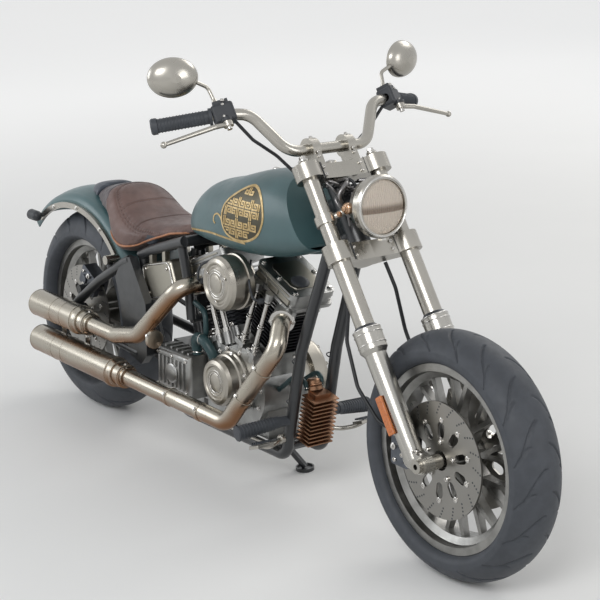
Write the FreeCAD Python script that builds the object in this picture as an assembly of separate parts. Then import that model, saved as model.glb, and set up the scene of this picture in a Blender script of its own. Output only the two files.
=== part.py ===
import FreeCAD, Part
import math
import os

# Cruiser motorcycle, leaning on its side stand.
# Every piece is drawn with the machine upright: +X forward, +Y to the rider's left, +Z up,
# the origin on the ground under the rear axle. The last step leans the whole machine over.

V = FreeCAD.Vector
ORIGIN = V(0, 0, 0)
AXIS_X = V(1, 0, 0)
AXIS_Y = V(0, 1, 0)
AXIS_Z = V(0, 0, 1)

# Clearances
SEAT_GAP = 0.3
RUN_GAP = 0.05
MOVE_GAP = 6.0
WALL = 4.0

# Stance
WHEELBASE = 1710.0
LEAN = 5.0
RAKE = 34.5

# Wheels and tyres
FRONT_TYRE_R = 313.5
FRONT_TYRE_W = 147.0
FRONT_CROWN_DROP = 43.0
FRONT_RIM_R = 237.0
REAR_TYRE_R = 325.4
REAR_TYRE_W = 176.0
REAR_CROWN_DROP = 70.0
REAR_RIM_R = 227.0
RIM_HALF_W = 53.0
RIM_WALL = 5.0
RIM_LIP = 14.0
RIM_WELL = 34.0
TYRE_WALL = 9.0
SPOKE_COUNT = 10
SPOKE_W = 11.0
SPOKE_FORK_R = 118.0
SPOKE_FORK_ANGLE = 8.5
HUB_R = 34.0
FRONT_HUB_HALF = 50.0
REAR_HUB_HALF = 58.0
AXLE_R = 12.0
AXLE_BORE_R = 7.0
SPACER_R = 19.0
NUT_T = 8.0

# Brakes
DISC_T = 5.0
DISC_R = 147.0
DISC_INNER_R = 96.0
DISC_WINDOW_R = 76.0
DISC_WINDOW_COUNT = 10
FRONT_DISC_Y = 61.0
REAR_DISC_Y = 72.0
CALIPER_R = 122.0
CALIPER_LENGTH = 96.0
CALIPER_DEPTH = 58.0
CALIPER_T = 17.0
FRONT_CALIPER_ANGLE = 145.0  # from the fork's forward direction
REAR_CALIPER_ANGLE = 62.0

# Fork, in the fork's own frame: Z up the steering axis, X square to it and forward
LEG_AHEAD = 40.0
LEG_Y = 110.5
AXLE_AHEAD = 70.0
AXLE_BELOW = 776.0
UPPER_CLAMP_H = 42.0
LOWER_CLAMP_TOP = -181.0
LOWER_CLAMP_H = 48.0
CLAMP_LUG_R = 36.0
STEM_R = 16.0
HEAD_R = 30.0
UPPER_TUBE_R = 21.0
COVER_TUBE_R = 25.0
LEG_R = 28.0
LEG_END_R = 26.0
COLLAR_R = 36.0
COLLAR_TOP = -412.0
COLLAR_H = 53.0
LEG_LUG_R = 22.0
LEG_LUG_OUT = 23.5
LEG_LUG_IN = 14.0

# Handlebar, in the fork's frame, one side
BAR_R = 15.0
GRIP_BAR_R = 11.0
BAR_CENTRE = V(18, 0, 94)
BAR_LOW = V(18, 127, 94)
BAR_HIGH = V(15, 199, 211)
BAR_HOUSING = V(5, 269, 222)
BAR_END = V(-86, 424, 249)
BAR_LOW_BEND = 62.0
BAR_HIGH_BEND = 58.0
RISER_Y = 57.0
RISER_R = 30.0
RISER_W = 26.0
GRIP_R = 17.5
GRIP_FLANGE_R = 22.0
HOUSING_W = 58.0
RESERVOIR_TOP = 34.0
LEVER_PIVOT = V(24, 280, 186)
LEVER_TIP = V(-7, 463, 162)
MIRROR_CENTRE = V(-8, 370, 343)
MIRROR_HALF_W = 66.0
MIRROR_HALF_H = 51.0
MIRROR_DEPTH = 38.0
MIRROR_TOE = 17.0

# Hoses and cables, in the fork's frame, one side
HOSE_R = 5.0
CABLE_R = 4.5
HOSE_ROUTE = [V(-12, 66, LOWER_CLAMP_TOP - LOWER_CLAMP_H - SEAT_GAP), V(-22, 76, -300), V(-70, 96, -400),
              V(-84, 104, -520), V(-62, 98, -620), V(-44, 78, -655)]
CABLE_ROUTE = [V(0.5, 237, 199), V(-22, 190, 156), V(-38, 124, 112), V(-40, 76, 44), V(-12, 54, 22)]

# Headlamp, in the fork's frame
LAMP_CENTRE = V(139, 0, -134)
LAMP_TILT = 29.1
LAMP_R = 81.0
LAMP_DEPTH = 92.0
LAMP_RING = 24.0
LENS_R = 69.0

# Frame
TUBE_R = 16.0
BACKBONE_R = 24.0
POST_R = 14.0
CRADLE_Z = 142.0
CRADLE_Y = 66.0
DOWNTUBE_TOP = V(1140, 60, 450)
DOWNTUBE_FOOT = V(1078, 62, CRADLE_Z)
RAIL_FRONT_X = 636.0
RAIL_FRONT_Z = 668.0
PIVOT_X = 455.0
PIVOT_Z = 300.0
PIVOT_R = 12.0
ARM_Y = 131.0
ARM_R = 15.0
RAIL_Y = ARM_Y - ARM_R - TUBE_R - SEAT_GAP

# Engine: the two cylinder axes meet at the V centre
V_X = 863.0
V_Z = 213.0
V_HALF_ANGLE = 22.5
CASE_HALF_W = 72.0
CASE_R = 122.0
CASE_X = 868.0
CASE_Z = 292.0
DECK = 238.0
BORE_R = 52.0
FIN_HALF = 66.0
FIN_CORNER = 22.0
FIN_T = 2.8
FIN_PITCH = 10.5
FIN_COUNT = 12
HEAD_H = 40.0
ROCKER_H = 48.0
ROCKER_HALF_L = 98.0
ROCKER_HALF_W = 76.0
PUSHROD_Y = 84.0
PUSHROD_R = 8.0
PUSHROD_SIDES = {1: (-46.0, 10.0), -1: (-52.0, -8.0)}
TAPPET_AT = 226.0

# Covers on the engine
AIR_X = 906.0
AIR_Z = 607.0
AIR_R = 76.0
AIR_FACE_Y = 175.0
AIR_BACK_Y = 100.0
CAM_X = 868.0
CAM_Z = 315.0
CAM_R = 68.0
CAM_FACE_Y = 158.0
PRIMARY_Y = 118.0
PRIMARY_T = 54.0
PRIMARY_FRONT_R = 104.0
PRIMARY_REAR_R = 86.0
PRIMARY_REAR_X = 640.0
BELT_Y = 103.0
BELT_W = 18.0
BELT_T = 5.0
REAR_PULLEY_R = 104.0
FRONT_PULLEY_R = 46.0
FRONT_PULLEY_X = 560.0

# Exhaust
MUFFLER_Y = 196.0
MUFFLER_R = 43.0
MUFFLER_END_X = -76.0
UPPER_MUFFLER_Z = 354.0
LOWER_MUFFLER_Z = 238.0
UPPER_MUFFLER_FRONT = 262.0
LOWER_MUFFLER_FRONT = 470.0
PIPE_R = 25.0
PIPE_BEND = 46.0

# Bodywork
FENDER_GAP = 71.6
FENDER_R = REAR_TYRE_R + FENDER_GAP
FENDER_HALF_W = 103.0
FENDER_SIDE_H = 59.0
FENDER_SIDE_R = FENDER_R - FENDER_SIDE_H
FENDER_FRONT_ANGLE = 26.0
FENDER_TAIL_ANGLE = 136.0
FENDER_T = 4.0
FENDER_RAIL_R = FENDER_SIDE_R + 6.0
FENDER_RAIL_W = 18.0
FENDER_EYE = V(262, 0, REAR_TYRE_R + 223.6)
FENDER_EYE_R = 14.0
TANK_FACE = 90.0
TANK_TAIL_X = 624.0
TUNNEL_HALF = BACKBONE_R + 4.5
OIL_TANK_HALF_W = 112.0
CAP_R = 30.0
CAP_PLACE = FreeCAD.Placement(V(900, 52, 886), FreeCAD.Rotation(AXIS_X, -18))

# Side stand: pivot and foot in the upright frame
STAND_PIVOT = V(872, 74, 100)
STAND_FOOT_X = 908.0
STAND_FOOT_Y = 128.0
STAND_FOOT_R = 27.0
STAND_LEG_R = 10.0
STAND_FOLDED = V(-105, 30, -5)
STAND_PIN_R = 7.0
STAND_EYE_HALF = 11.0


def turned(shape, centre, axis, degrees):
    copy = shape.copy()
    copy.rotate(centre, axis, degrees)
    return copy


def moved(shape, offset):
    copy = shape.copy()
    copy.translate(offset)
    return copy


def rod(start, end, radius):
    along = end - start
    return Part.makeCylinder(radius, along.Length, start, along)


def sleeve(start, end, outer, inner):
    along = (end - start).normalize()
    return rod(start, end, outer).cut(rod(start - along, end + along, inner))


def block(low, high):
    size = V(*high) - V(*low)
    return Part.makeBox(size.x, size.y, size.z, V(*low))


def fused(shapes):
    whole = shapes[0].multiFuse(shapes[1:])
    merged = whole.removeSplitter()
    return merged if merged.isValid() else whole


def mirrored(shape):
    return shape.mirror(ORIGIN, AXIS_Y)


def on_both_sides(shape):
    return Part.makeCompound([shape, mirrored(shape)])


def tube(points, radius, bend):
    """A round bar on straight runs, joined by tangent arcs: one bend radius for all, or one each."""
    bends = bend if isinstance(bend, list) else [bend] * (len(points) - 2)
    pieces = []
    start = points[0]
    for before, corner, after, bend in zip(points, points[1:], points[2:], bends):
        come = (corner - before).normalize()
        leave = (after - corner).normalize()
        turn = come.getAngle(leave)
        trim = bend * math.tan(turn / 2)
        bend_start = corner - come * trim
        inward = (leave - come * come.dot(leave)).normalize()
        disc = Part.Face(Part.Wire(Part.makeCircle(radius, bend_start, come)))
        elbow = disc.revolve(bend_start + inward * bend, come.cross(leave), math.degrees(turn))
        pieces += [rod(start, bend_start, radius), elbow]
        start = corner + leave * trim
    pieces.append(rod(start, points[-1], radius))
    return fused(pieces) if len(pieces) > 1 else pieces[0]


def plate(outline, y_low, y_high):
    """A flat piece whose outline is given as (x, z) points."""
    points = [V(x, y_low, z) for x, z in outline]
    face = Part.Face(Part.makePolygon(points + points[:1]))
    return face.extrude(V(0, y_high - y_low, 0))


def turned_on_y(profile, x, z):
    """A turned piece on an axis along Y, its profile given as (y, radius) points."""
    points = [V(0, y, radius) for y, radius in profile]
    face = Part.Face(Part.makePolygon(points + points[:1]))
    return moved(face.revolve(ORIGIN, AXIS_Y, 360), V(x, 0, z))


def rounded_link(a, b, radius_a, radius_b, y_low, y_high):
    """The outline of two round ends and their common tangents, as thick as y_low to y_high."""
    (ax, az), (bx, bz) = a, b
    reach = math.hypot(bx - ax, bz - az)
    heading = math.atan2(bz - az, bx - ax)
    lean = math.acos((radius_a - radius_b) / reach)

    def on(cx, cz, radius, angle):
        return V(cx + radius * math.cos(angle), y_low, cz + radius * math.sin(angle))

    top, low = heading + lean, heading - lean
    edges = [
        Part.makeLine(on(ax, az, radius_a, low), on(bx, bz, radius_b, low)),
        Part.Arc(on(bx, bz, radius_b, low), on(bx, bz, radius_b, heading), on(bx, bz, radius_b, top)).toShape(),
        Part.makeLine(on(bx, bz, radius_b, top), on(ax, az, radius_a, top)),
        Part.Arc(on(ax, az, radius_a, top), on(ax, az, radius_a, heading + math.pi),
                 on(ax, az, radius_a, low)).toShape(),
    ]
    return Part.Face(Part.Wire(edges)).extrude(V(0, y_high - y_low, 0))


# Key places, worked out from the driving dimensions
REAR_AXLE = V(0, 0, REAR_TYRE_R)
FRONT_AXLE = V(WHEELBASE, 0, FRONT_TYRE_R)
FORK_UP = V(-math.sin(math.radians(RAKE)), 0, math.cos(math.radians(RAKE)))
FORK_AHEAD = V(math.cos(math.radians(RAKE)), 0, math.sin(math.radians(RAKE)))
STEERING_ORIGIN = FRONT_AXLE - FORK_AHEAD * AXLE_AHEAD + FORK_UP * AXLE_BELOW
FORK_PLACE = FreeCAD.Placement(STEERING_ORIGIN, FreeCAD.Rotation(AXIS_Y, -RAKE))
BACKBONE = [STEERING_ORIGIN - FORK_UP * 58, V(1010, 0, 768), V(RAIL_FRONT_X, 0, RAIL_FRONT_Z)]
HEAD_TOP = -MOVE_GAP
HEAD_LOW = LOWER_CLAMP_TOP + MOVE_GAP


def fork_point(x, y, z):
    return STEERING_ORIGIN + FORK_AHEAD * x + AXIS_Y * y + FORK_UP * z


def in_fork(shape):
    """Takes a piece drawn in the fork's frame to its place on the machine."""
    copy = shape.copy()
    copy.Placement = FORK_PLACE.multiply(copy.Placement)
    return copy


def crown_radius(width, drop):
    return ((width / 2) ** 2 + drop ** 2) / (2 * drop)


def lean_drop(width, drop):
    """How far below its axle's upright height a leaned tyre's lowest point comes."""
    return crown_radius(width, drop) * (1 - math.cos(math.radians(LEAN)))


FLOOR_DROP = lean_drop(REAR_TYRE_W, REAR_CROWN_DROP)
FLOOR_UP = V(0, -math.sin(math.radians(LEAN)), math.cos(math.radians(LEAN)))
STAND_FOOT = V(STAND_FOOT_X, STAND_FOOT_Y,
               STAND_FOOT_Y * math.tan(math.radians(LEAN)) - FLOOR_DROP / math.cos(math.radians(LEAN)))
STAND_AXIS = (STAND_FOOT - STAND_PIVOT).cross(STAND_FOLDED).normalize()


def tyre(radius, width, drop, rim_radius):
    """A hollow tyre on the Y axis: crown, shoulders, side walls, and beads inside the flanges."""
    half = width / 2
    shoulder_r = radius - drop
    side_r = rim_radius + (shoulder_r - rim_radius) * 0.55
    bead_y = RIM_HALF_W - RIM_WALL - SEAT_GAP
    bead_r = rim_radius - RIM_LIP + SEAT_GAP

    def half_outline(thick):
        foot = V(0, bead_y - thick, bead_r)
        lip = V(0, bead_y - thick, rim_radius + 1.5 + thick * 0.6)
        side = V(0, half - thick, side_r + thick * 0.3)
        bulge = V(0, lip.y + (side.y - lip.y) * 0.72, lip.z + (side.z - lip.z) * 0.3)
        shoulder = V(0, half - thick, shoulder_r)
        return [Part.makeLine(foot, lip), Part.Arc(lip, bulge, side).toShape(),
                Part.makeLine(side, shoulder)]

    def outline(thick):
        crown = Part.Arc(V(0, thick - half, shoulder_r), V(0, 0, radius - thick),
                         V(0, half - thick, shoulder_r)).toShape()
        right = half_outline(thick)
        return right + [mirrored(edge) for edge in right] + [crown]

    foot = [Part.makeLine(V(0, side * bead_y, bead_r), V(0, side * (bead_y - TYRE_WALL), bead_r))
            for side in (1, -1)]
    wire = Part.Wire(Part.__sortEdges__(outline(0) + outline(TYRE_WALL) + foot))
    return Part.Face(wire).revolve(ORIGIN, AXIS_Y, 360)


def rim(rim_radius):
    """The rim barrel: flanges, bead seats and the well between them."""
    seat = rim_radius - RIM_LIP
    well = rim_radius - RIM_WELL
    outside = [(RIM_HALF_W, rim_radius), (RIM_HALF_W - RIM_WALL, rim_radius),
               (RIM_HALF_W - RIM_WALL, seat), (RIM_HALF_W - 22, seat - 2), (RIM_HALF_W - 30, well)]
    inside = [(RIM_HALF_W - 27, well - RIM_WALL), (RIM_HALF_W - 18, seat - RIM_WALL - 3),
              (RIM_HALF_W, seat - RIM_WALL)]
    far_outside = [(-y, r) for y, r in reversed(outside)]
    far_inside = [(-y, r) for y, r in reversed(inside)]
    return turned_on_y(outside + far_outside + far_inside + inside, 0, 0)


def spoke_outline(rim_inner):
    """One forked spoke: a stem from the hub that parts into two arms."""
    def at(radius, degrees, side):
        angle = math.radians(degrees)
        return (radius * math.sin(angle) + side * math.cos(angle),
                radius * math.cos(angle) - side * math.sin(angle))

    half = SPOKE_W / 2
    reach = rim_inner + 4
    right = [at(HUB_R - 6, 0, half + 3), at(SPOKE_FORK_R - 22, 0, half),
             at(reach, SPOKE_FORK_ANGLE, half)]
    crotch = [at(reach, SPOKE_FORK_ANGLE, -half), at(SPOKE_FORK_R + 8, 0, 0),
              at(reach, -SPOKE_FORK_ANGLE, half)]
    left = [at(reach, -SPOKE_FORK_ANGLE, -half), at(SPOKE_FORK_R - 22, 0, -half),
            at(HUB_R - 6, 0, -half - 3)]
    return right + crotch + left


def wheel(rim_radius, hub_half):
    """Rim, forked spokes and hub, cast in one piece and bored for its axle."""
    rim_inner = rim_radius - RIM_WELL - RIM_WALL
    one = plate(spoke_outline(rim_inner), -FRONT_HUB_HALF, FRONT_HUB_HALF)
    spokes = [turned(one, ORIGIN, AXIS_Y, 360 / SPOKE_COUNT * i) for i in range(SPOKE_COUNT)]
    waist = [(36, HUB_R - 8), (13, SPOKE_FORK_R), (9, rim_inner + 6)]
    spindle = turned_on_y(waist + [(-y, r) for y, r in reversed(waist)], 0, 0)
    spokes = [spoke.common(spindle) for spoke in spokes]
    hub = rod(V(0, -hub_half, 0), V(0, hub_half, 0), HUB_R)
    cast = fused([rim(rim_radius), hub] + spokes)
    return cast.cut(rod(V(0, -200, 0), V(0, 200, 0), AXLE_R + RUN_GAP))


def brake_disc(y):
    """A disc with its carrier; the carrier is pierced by a ring of oval windows."""
    half = DISC_T / 2
    disc = rod(V(0, y - half, 0), V(0, y + half, 0), DISC_R)
    bore = rod(V(0, y - 30, 0), V(0, y + 30, 0), HUB_R + SEAT_GAP)
    window = rounded_link((0, DISC_WINDOW_R - 9), (0, DISC_WINDOW_R + 9), 11, 12.5, y - 30, y + 30)
    cuts = [turned(window, ORIGIN, AXIS_Y, 360 / DISC_WINDOW_COUNT * i) for i in range(DISC_WINDOW_COUNT)]
    return disc.cut([bore] + cuts)


def pulley():
    """The toothless rim of the belt pulley, with a web and a hub."""
    half = BELT_W / 2 + 2
    rim_ring = sleeve(V(0, BELT_Y - half, 0), V(0, BELT_Y + half, 0), REAR_PULLEY_R, REAR_PULLEY_R - 14)
    web = rod(V(0, REAR_HUB_HALF + SEAT_GAP, 0), V(0, REAR_HUB_HALF + 12, 0), REAR_PULLEY_R - 13)
    drum = sleeve(V(0, REAR_HUB_HALF + SEAT_GAP, 0), V(0, BELT_Y + half, 0), REAR_PULLEY_R - 13,
                  REAR_PULLEY_R - 22)
    bore = rod(V(0, 0, 0), V(0, 200, 0), SPACER_R + MOVE_GAP / 2)
    windows = [turned(rod(V(60, 0, 0), V(60, 200, 0), 15), ORIGIN, AXIS_Y, 60 * i) for i in range(6)]
    return fused([rim_ring, web, drum]).cut([bore] + windows)


def axle(half_span, hub_half, lug_y):
    """A hollow wheel axle, with the spacers that stand between the hub and its carriers."""
    shaft = rod(V(0, -half_span, 0), V(0, half_span, 0), AXLE_R)
    spacer = rod(V(0, hub_half + SEAT_GAP, 0), V(0, lug_y - SEAT_GAP, 0), SPACER_R)
    nut = rod(V(0, half_span - NUT_T, 0), V(0, half_span, 0), AXLE_R + 5)
    solid = fused([shaft, spacer, mirrored(spacer), nut, mirrored(nut)])
    return solid.cut(rod(V(0, -half_span - 1, 0), V(0, half_span + 1, 0), AXLE_BORE_R))


CALIPER_SLOT_HALF = DISC_T / 2 + MOVE_GAP - 1
PISTON_OUT = 5.0
PISTON_APART = 22.0


def caliper(disc_y, angle):
    """A brake caliper that straddles its disc; drawn round the axle, +Y outward."""
    outer = disc_y + CALIPER_SLOT_HALF + CALIPER_T
    inner = disc_y - CALIPER_SLOT_HALF - CALIPER_T * 0.7
    body = block((CALIPER_R - CALIPER_DEPTH / 2, inner, -CALIPER_LENGTH / 2),
                 (CALIPER_R + CALIPER_DEPTH / 2 + 8, outer, CALIPER_LENGTH / 2))
    body = body.makeFillet(8, [e for e in body.Edges if abs(e.tangentAt(e.FirstParameter).y) > 0.9])
    slot = rod(V(0, disc_y - CALIPER_SLOT_HALF, 0), V(0, disc_y + CALIPER_SLOT_HALF, 0), DISC_R + MOVE_GAP)
    pistons = [rod(V(CALIPER_R - 4, outer - 1, z), V(CALIPER_R - 4, outer + PISTON_OUT, z), 15)
               for z in (-PISTON_APART, PISTON_APART)]
    solid = fused([body.cut(slot)] + pistons)
    return turned(solid, ORIGIN, AXIS_Y, -angle)


def front_tyre():
    return moved(tyre(FRONT_TYRE_R, FRONT_TYRE_W, FRONT_CROWN_DROP, FRONT_RIM_R), FRONT_AXLE)


def rear_tyre():
    return moved(tyre(REAR_TYRE_R, REAR_TYRE_W, REAR_CROWN_DROP, REAR_RIM_R), REAR_AXLE)


def front_wheel():
    return moved(wheel(FRONT_RIM_R, FRONT_HUB_HALF), FRONT_AXLE)


def rear_wheel():
    return moved(wheel(REAR_RIM_R, REAR_HUB_HALF), REAR_AXLE)


def front_discs():
    return moved(on_both_sides(fused([brake_disc(FRONT_DISC_Y), disc_boss(FRONT_HUB_HALF, FRONT_DISC_Y)])), FRONT_AXLE)


def disc_boss(hub_half, disc_y):
    """The ring that stands the disc off the end of the hub."""
    return sleeve(V(0, hub_half + SEAT_GAP, 0), V(0, disc_y + DISC_T / 2, 0), HUB_R + 8, SPACER_R + MOVE_GAP)


def rear_disc_and_pulley():
    disc = mirrored(fused([brake_disc(REAR_DISC_Y), disc_boss(REAR_HUB_HALF, REAR_DISC_Y)]))
    return moved(Part.makeCompound([disc, pulley()]), REAR_AXLE)


def front_axle():
    return moved(axle(LEG_Y + LEG_LUG_OUT + NUT_T + SEAT_GAP, FRONT_HUB_HALF, LEG_Y - LEG_LUG_IN), FRONT_AXLE)


def rear_axle():
    return moved(axle(ARM_Y + ARM_R - 3 + NUT_T + SEAT_GAP, REAR_HUB_HALF, ARM_Y - ARM_R + 3), REAR_AXLE)


def front_calipers():
    pair = on_both_sides(caliper(FRONT_DISC_Y, FRONT_CALIPER_ANGLE))
    return in_fork(moved(pair, V(AXLE_AHEAD, 0, -AXLE_BELOW)))


def rear_caliper():
    return moved(mirrored(caliper(REAR_DISC_Y, REAR_CALIPER_ANGLE)), REAR_AXLE)


def clamp_plan(z_low, z_high):
    """A fork clamp: two round lugs and the stem's boss, joined by a waisted bridge."""
    lug = rod(V(LEG_AHEAD, LEG_Y, z_low), V(LEG_AHEAD, LEG_Y, z_high), CLAMP_LUG_R)
    boss = rod(V(0, 0, z_low), V(0, 0, z_high), HEAD_R)
    bridge = [V(-HEAD_R + 4, 0, z_low), V(-4, 60, z_low), V(LEG_AHEAD - CLAMP_LUG_R + 4, LEG_Y, z_low),
              V(LEG_AHEAD + CLAMP_LUG_R - 4, LEG_Y, z_low), V(HEAD_R + 14, 60, z_low), V(HEAD_R + 10, 0, z_low)]
    half = Part.Face(Part.makePolygon(bridge + bridge[:1])).extrude(V(0, 0, z_high - z_low))
    return fused([lug, boss, half, mirrored(lug), mirrored(half)])


def leg_holes(radius, z_low, z_high):
    hole = rod(V(LEG_AHEAD, LEG_Y, z_low - 1), V(LEG_AHEAD, LEG_Y, z_high + 1), radius)
    return [hole, mirrored(hole)]


def upper_clamp():
    body = clamp_plan(0, UPPER_CLAMP_H)
    cuts = leg_holes(UPPER_TUBE_R + SEAT_GAP, 0, UPPER_CLAMP_H)
    cuts.append(rod(V(0, 0, -1), V(0, 0, UPPER_CLAMP_H + 1), STEM_R + SEAT_GAP))
    return in_fork(body.cut(cuts))


def lower_clamp():
    low = LOWER_CLAMP_TOP - LOWER_CLAMP_H
    body = clamp_plan(low, LOWER_CLAMP_TOP)
    stem = rod(V(0, 0, low), V(0, 0, UPPER_CLAMP_H + 6), STEM_R)
    body = body.cut(leg_holes(COVER_TUBE_R + SEAT_GAP, low, LOWER_CLAMP_TOP))
    return in_fork(fused([body, stem]))


def fork_tubes():
    top = UPPER_CLAMP_H + 5
    upper = rod(V(LEG_AHEAD, LEG_Y, LOWER_CLAMP_TOP), V(LEG_AHEAD, LEG_Y, top), UPPER_TUBE_R)
    cover = rod(V(LEG_AHEAD, LEG_Y, COLLAR_TOP + SEAT_GAP), V(LEG_AHEAD, LEG_Y, LOWER_CLAMP_TOP), COVER_TUBE_R)
    cap = Part.makeCone(UPPER_TUBE_R, UPPER_TUBE_R - 7, 6, V(LEG_AHEAD, LEG_Y, top), AXIS_Z)
    return in_fork(on_both_sides(fused([upper, cover, cap])))


def slider_leg(grow):
    """The tapered leg under the collar, also used to cut what is clamped to it."""
    foot = -AXLE_BELOW + LEG_LUG_R
    return Part.makeCone(LEG_END_R + grow, LEG_R + grow, COLLAR_TOP - COLLAR_H - foot,
                         V(LEG_AHEAD, LEG_Y, foot), AXIS_Z)


def fork_lowers():
    """The sliders: a collar at the top, a tapered leg, and the axle's lug ahead of its foot."""
    collar_low = COLLAR_TOP - COLLAR_H
    foot = -AXLE_BELOW + LEG_LUG_R
    collar = rod(V(LEG_AHEAD, LEG_Y, collar_low), V(LEG_AHEAD, LEG_Y, COLLAR_TOP), COLLAR_R)
    flare = Part.makeCone(LEG_R, COLLAR_R, 12, V(LEG_AHEAD, LEG_Y, collar_low - 12), AXIS_Z)
    leg = slider_leg(0)
    heel = Part.makeCone(LEG_END_R - 8, LEG_END_R, LEG_LUG_R, V(LEG_AHEAD, LEG_Y, foot - LEG_LUG_R), AXIS_Z)
    lug = rounded_link((AXLE_AHEAD, -AXLE_BELOW), (LEG_AHEAD, foot + 6), LEG_LUG_R, LEG_END_R - 2,
                       LEG_Y - LEG_LUG_IN, LEG_Y + LEG_LUG_OUT - 6)
    boss = rod(V(AXLE_AHEAD, LEG_Y - LEG_LUG_IN, -AXLE_BELOW), V(AXLE_AHEAD, LEG_Y + LEG_LUG_OUT, -AXLE_BELOW),
               LEG_LUG_R - 2)
    hole = rod(V(AXLE_AHEAD, 0, -AXLE_BELOW), V(AXLE_AHEAD, 300, -AXLE_BELOW), AXLE_R + SEAT_GAP)
    spacer_room = rod(V(AXLE_AHEAD, 0, -AXLE_BELOW), V(AXLE_AHEAD, LEG_Y - LEG_LUG_IN, -AXLE_BELOW),
                      SPACER_R + SEAT_GAP)
    solid = fused([collar, flare, leg, heel, lug, boss, caliper_lug()]).cut([hole, spacer_room])
    return in_fork(on_both_sides(solid))


def caliper_lug():
    """The ear behind the slider's foot that carries the end of the brake caliper."""
    angle = math.radians(FRONT_CALIPER_ANGLE)
    outward = V(math.cos(angle), 0, math.sin(angle))
    along = V(math.sin(angle), 0, -math.cos(angle))
    end = V(AXLE_AHEAD, 0, -AXLE_BELOW) + outward * CALIPER_R + along * (CALIPER_LENGTH / 2 + SEAT_GAP)
    low, high = end - outward * 20, end + outward * 25
    back = LEG_AHEAD - 8
    outline = [(low.x, low.z), (high.x, high.z), (back - 30, high.z + 26), (back, high.z + 52), (back, low.z)]
    return plate(outline, LEG_Y - LEG_R - 8, LEG_Y - 14)


def headlamp():
    """A bowl with a rimmed front, and an arm with a band round each fork tube."""
    profile = [(0, 0), (0, 26), (14, 48), (40, 68), (LAMP_DEPTH - LAMP_RING, LAMP_R - 6),
               (LAMP_DEPTH - LAMP_RING, LAMP_R - 1), (LAMP_DEPTH - 6, LAMP_R), (LAMP_DEPTH, LAMP_R - 5),
               (LAMP_DEPTH, LENS_R + SEAT_GAP), (LAMP_DEPTH - 14, LENS_R + SEAT_GAP),
               (LAMP_DEPTH - 14, LENS_R - 6), (LAMP_DEPTH - 22, LENS_R - 8), (42, 60), (18, 42), (WALL, 22), (WALL, 0)]
    bowl = lamp_turned(profile)
    band_z = LAMP_CENTRE.z + 22
    band = rod(V(LEG_AHEAD, LEG_Y, band_z - 12), V(LEG_AHEAD, LEG_Y, band_z + 12), UPPER_TUBE_R + 6)
    arm = rod(V(LEG_AHEAD + 10, LEG_Y - 14, band_z), lamp_point(30, 60), 9)
    solid = fused([bowl, band, arm, mirrored(band), mirrored(arm)])
    inside = lamp_turned([(WALL, 0), (WALL, 22), (18, 42), (42, 60), (LAMP_DEPTH - 22, LENS_R - 8),
                          (LAMP_DEPTH + 9, LENS_R - 8), (LAMP_DEPTH + 9, 0)])
    return in_fork(solid.cut(leg_holes(UPPER_TUBE_R + SEAT_GAP, band_z - 12, band_z + 12) + [inside]))


def lamp_point(depth, y):
    """A point in the lamp, measured forward from the back of its bowl and out to the left."""
    tilt = math.radians(LAMP_TILT)
    back = LAMP_DEPTH - depth
    return LAMP_CENTRE + V(-math.cos(tilt) * back, y, math.sin(tilt) * back)


def lamp_turned(profile):
    """A turned piece on the lamp's axis, its profile given as (depth, radius) points."""
    points = [V(depth, 0, radius) for depth, radius in profile]
    face = Part.Face(Part.makePolygon(points + points[:1]))
    solid = face.revolve(ORIGIN, AXIS_X, 360)
    solid = turned(solid, ORIGIN, AXIS_Y, LAMP_TILT)
    return moved(solid, lamp_point(0, 0))


def headlamp_lens():
    """The round glass, slightly domed, seated in the lamp's ring."""
    seat, front, dome = LAMP_DEPTH - 14 + SEAT_GAP, LAMP_DEPTH + 5, 330
    disc = rod(V(seat, 0, 0), V(front + 5, 0, 0), LENS_R)
    ball = Part.makeSphere(dome, V(front - dome, 0, 0))
    lens = turned(disc.common(ball), ORIGIN, AXIS_Y, LAMP_TILT)
    return in_fork(moved(lens, lamp_point(0, 0)))


def handlebar():
    """The bar: level at its clamps, up at each side and back to the grips."""
    thick = tube([BAR_HOUSING, BAR_HIGH, BAR_LOW, BAR_CENTRE], BAR_R, [BAR_HIGH_BEND, BAR_LOW_BEND])
    out = (BAR_END - BAR_HOUSING).normalize()
    thin = rod(BAR_HOUSING - out * 4, BAR_END - out * 6, GRIP_BAR_R)
    ball = Part.makeSphere(BAR_R, BAR_HOUSING)
    half = fused([thick, thin, ball])
    return in_fork(fused([half, mirrored(half)]))


def bar_risers():
    """Two risers on the upper clamp, each with a round head bored for the bar."""
    y_low, y_high = RISER_Y - RISER_W / 2, RISER_Y + RISER_W / 2
    head = rod(V(BAR_CENTRE.x, y_low, BAR_CENTRE.z), V(BAR_CENTRE.x, y_high, BAR_CENTRE.z), RISER_R)
    post = block((BAR_CENTRE.x - 20, y_low, UPPER_CLAMP_H), (BAR_CENTRE.x + 22, y_high, BAR_CENTRE.z))
    hole = rod(V(BAR_CENTRE.x, y_low - 1, BAR_CENTRE.z), V(BAR_CENTRE.x, y_high + 1, BAR_CENTRE.z),
               BAR_R + SEAT_GAP)
    return in_fork(on_both_sides(fused([head, post]).cut(hole)))


def grips():
    out = (BAR_END - BAR_HOUSING).normalize()
    start = BAR_HOUSING + out * (HOUSING_W / 2 + 1)
    body = rod(start, BAR_END - out * 8, GRIP_R)
    inner = rod(start, start + out * 8, GRIP_FLANGE_R)
    outer = rod(BAR_END - out * 12, BAR_END, GRIP_FLANGE_R - 1)
    hollow = rod(start - out, BAR_END - out * 5.7, GRIP_BAR_R + SEAT_GAP)
    return in_fork(on_both_sides(fused([body, inner, outer]).cut(hollow)))


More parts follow.
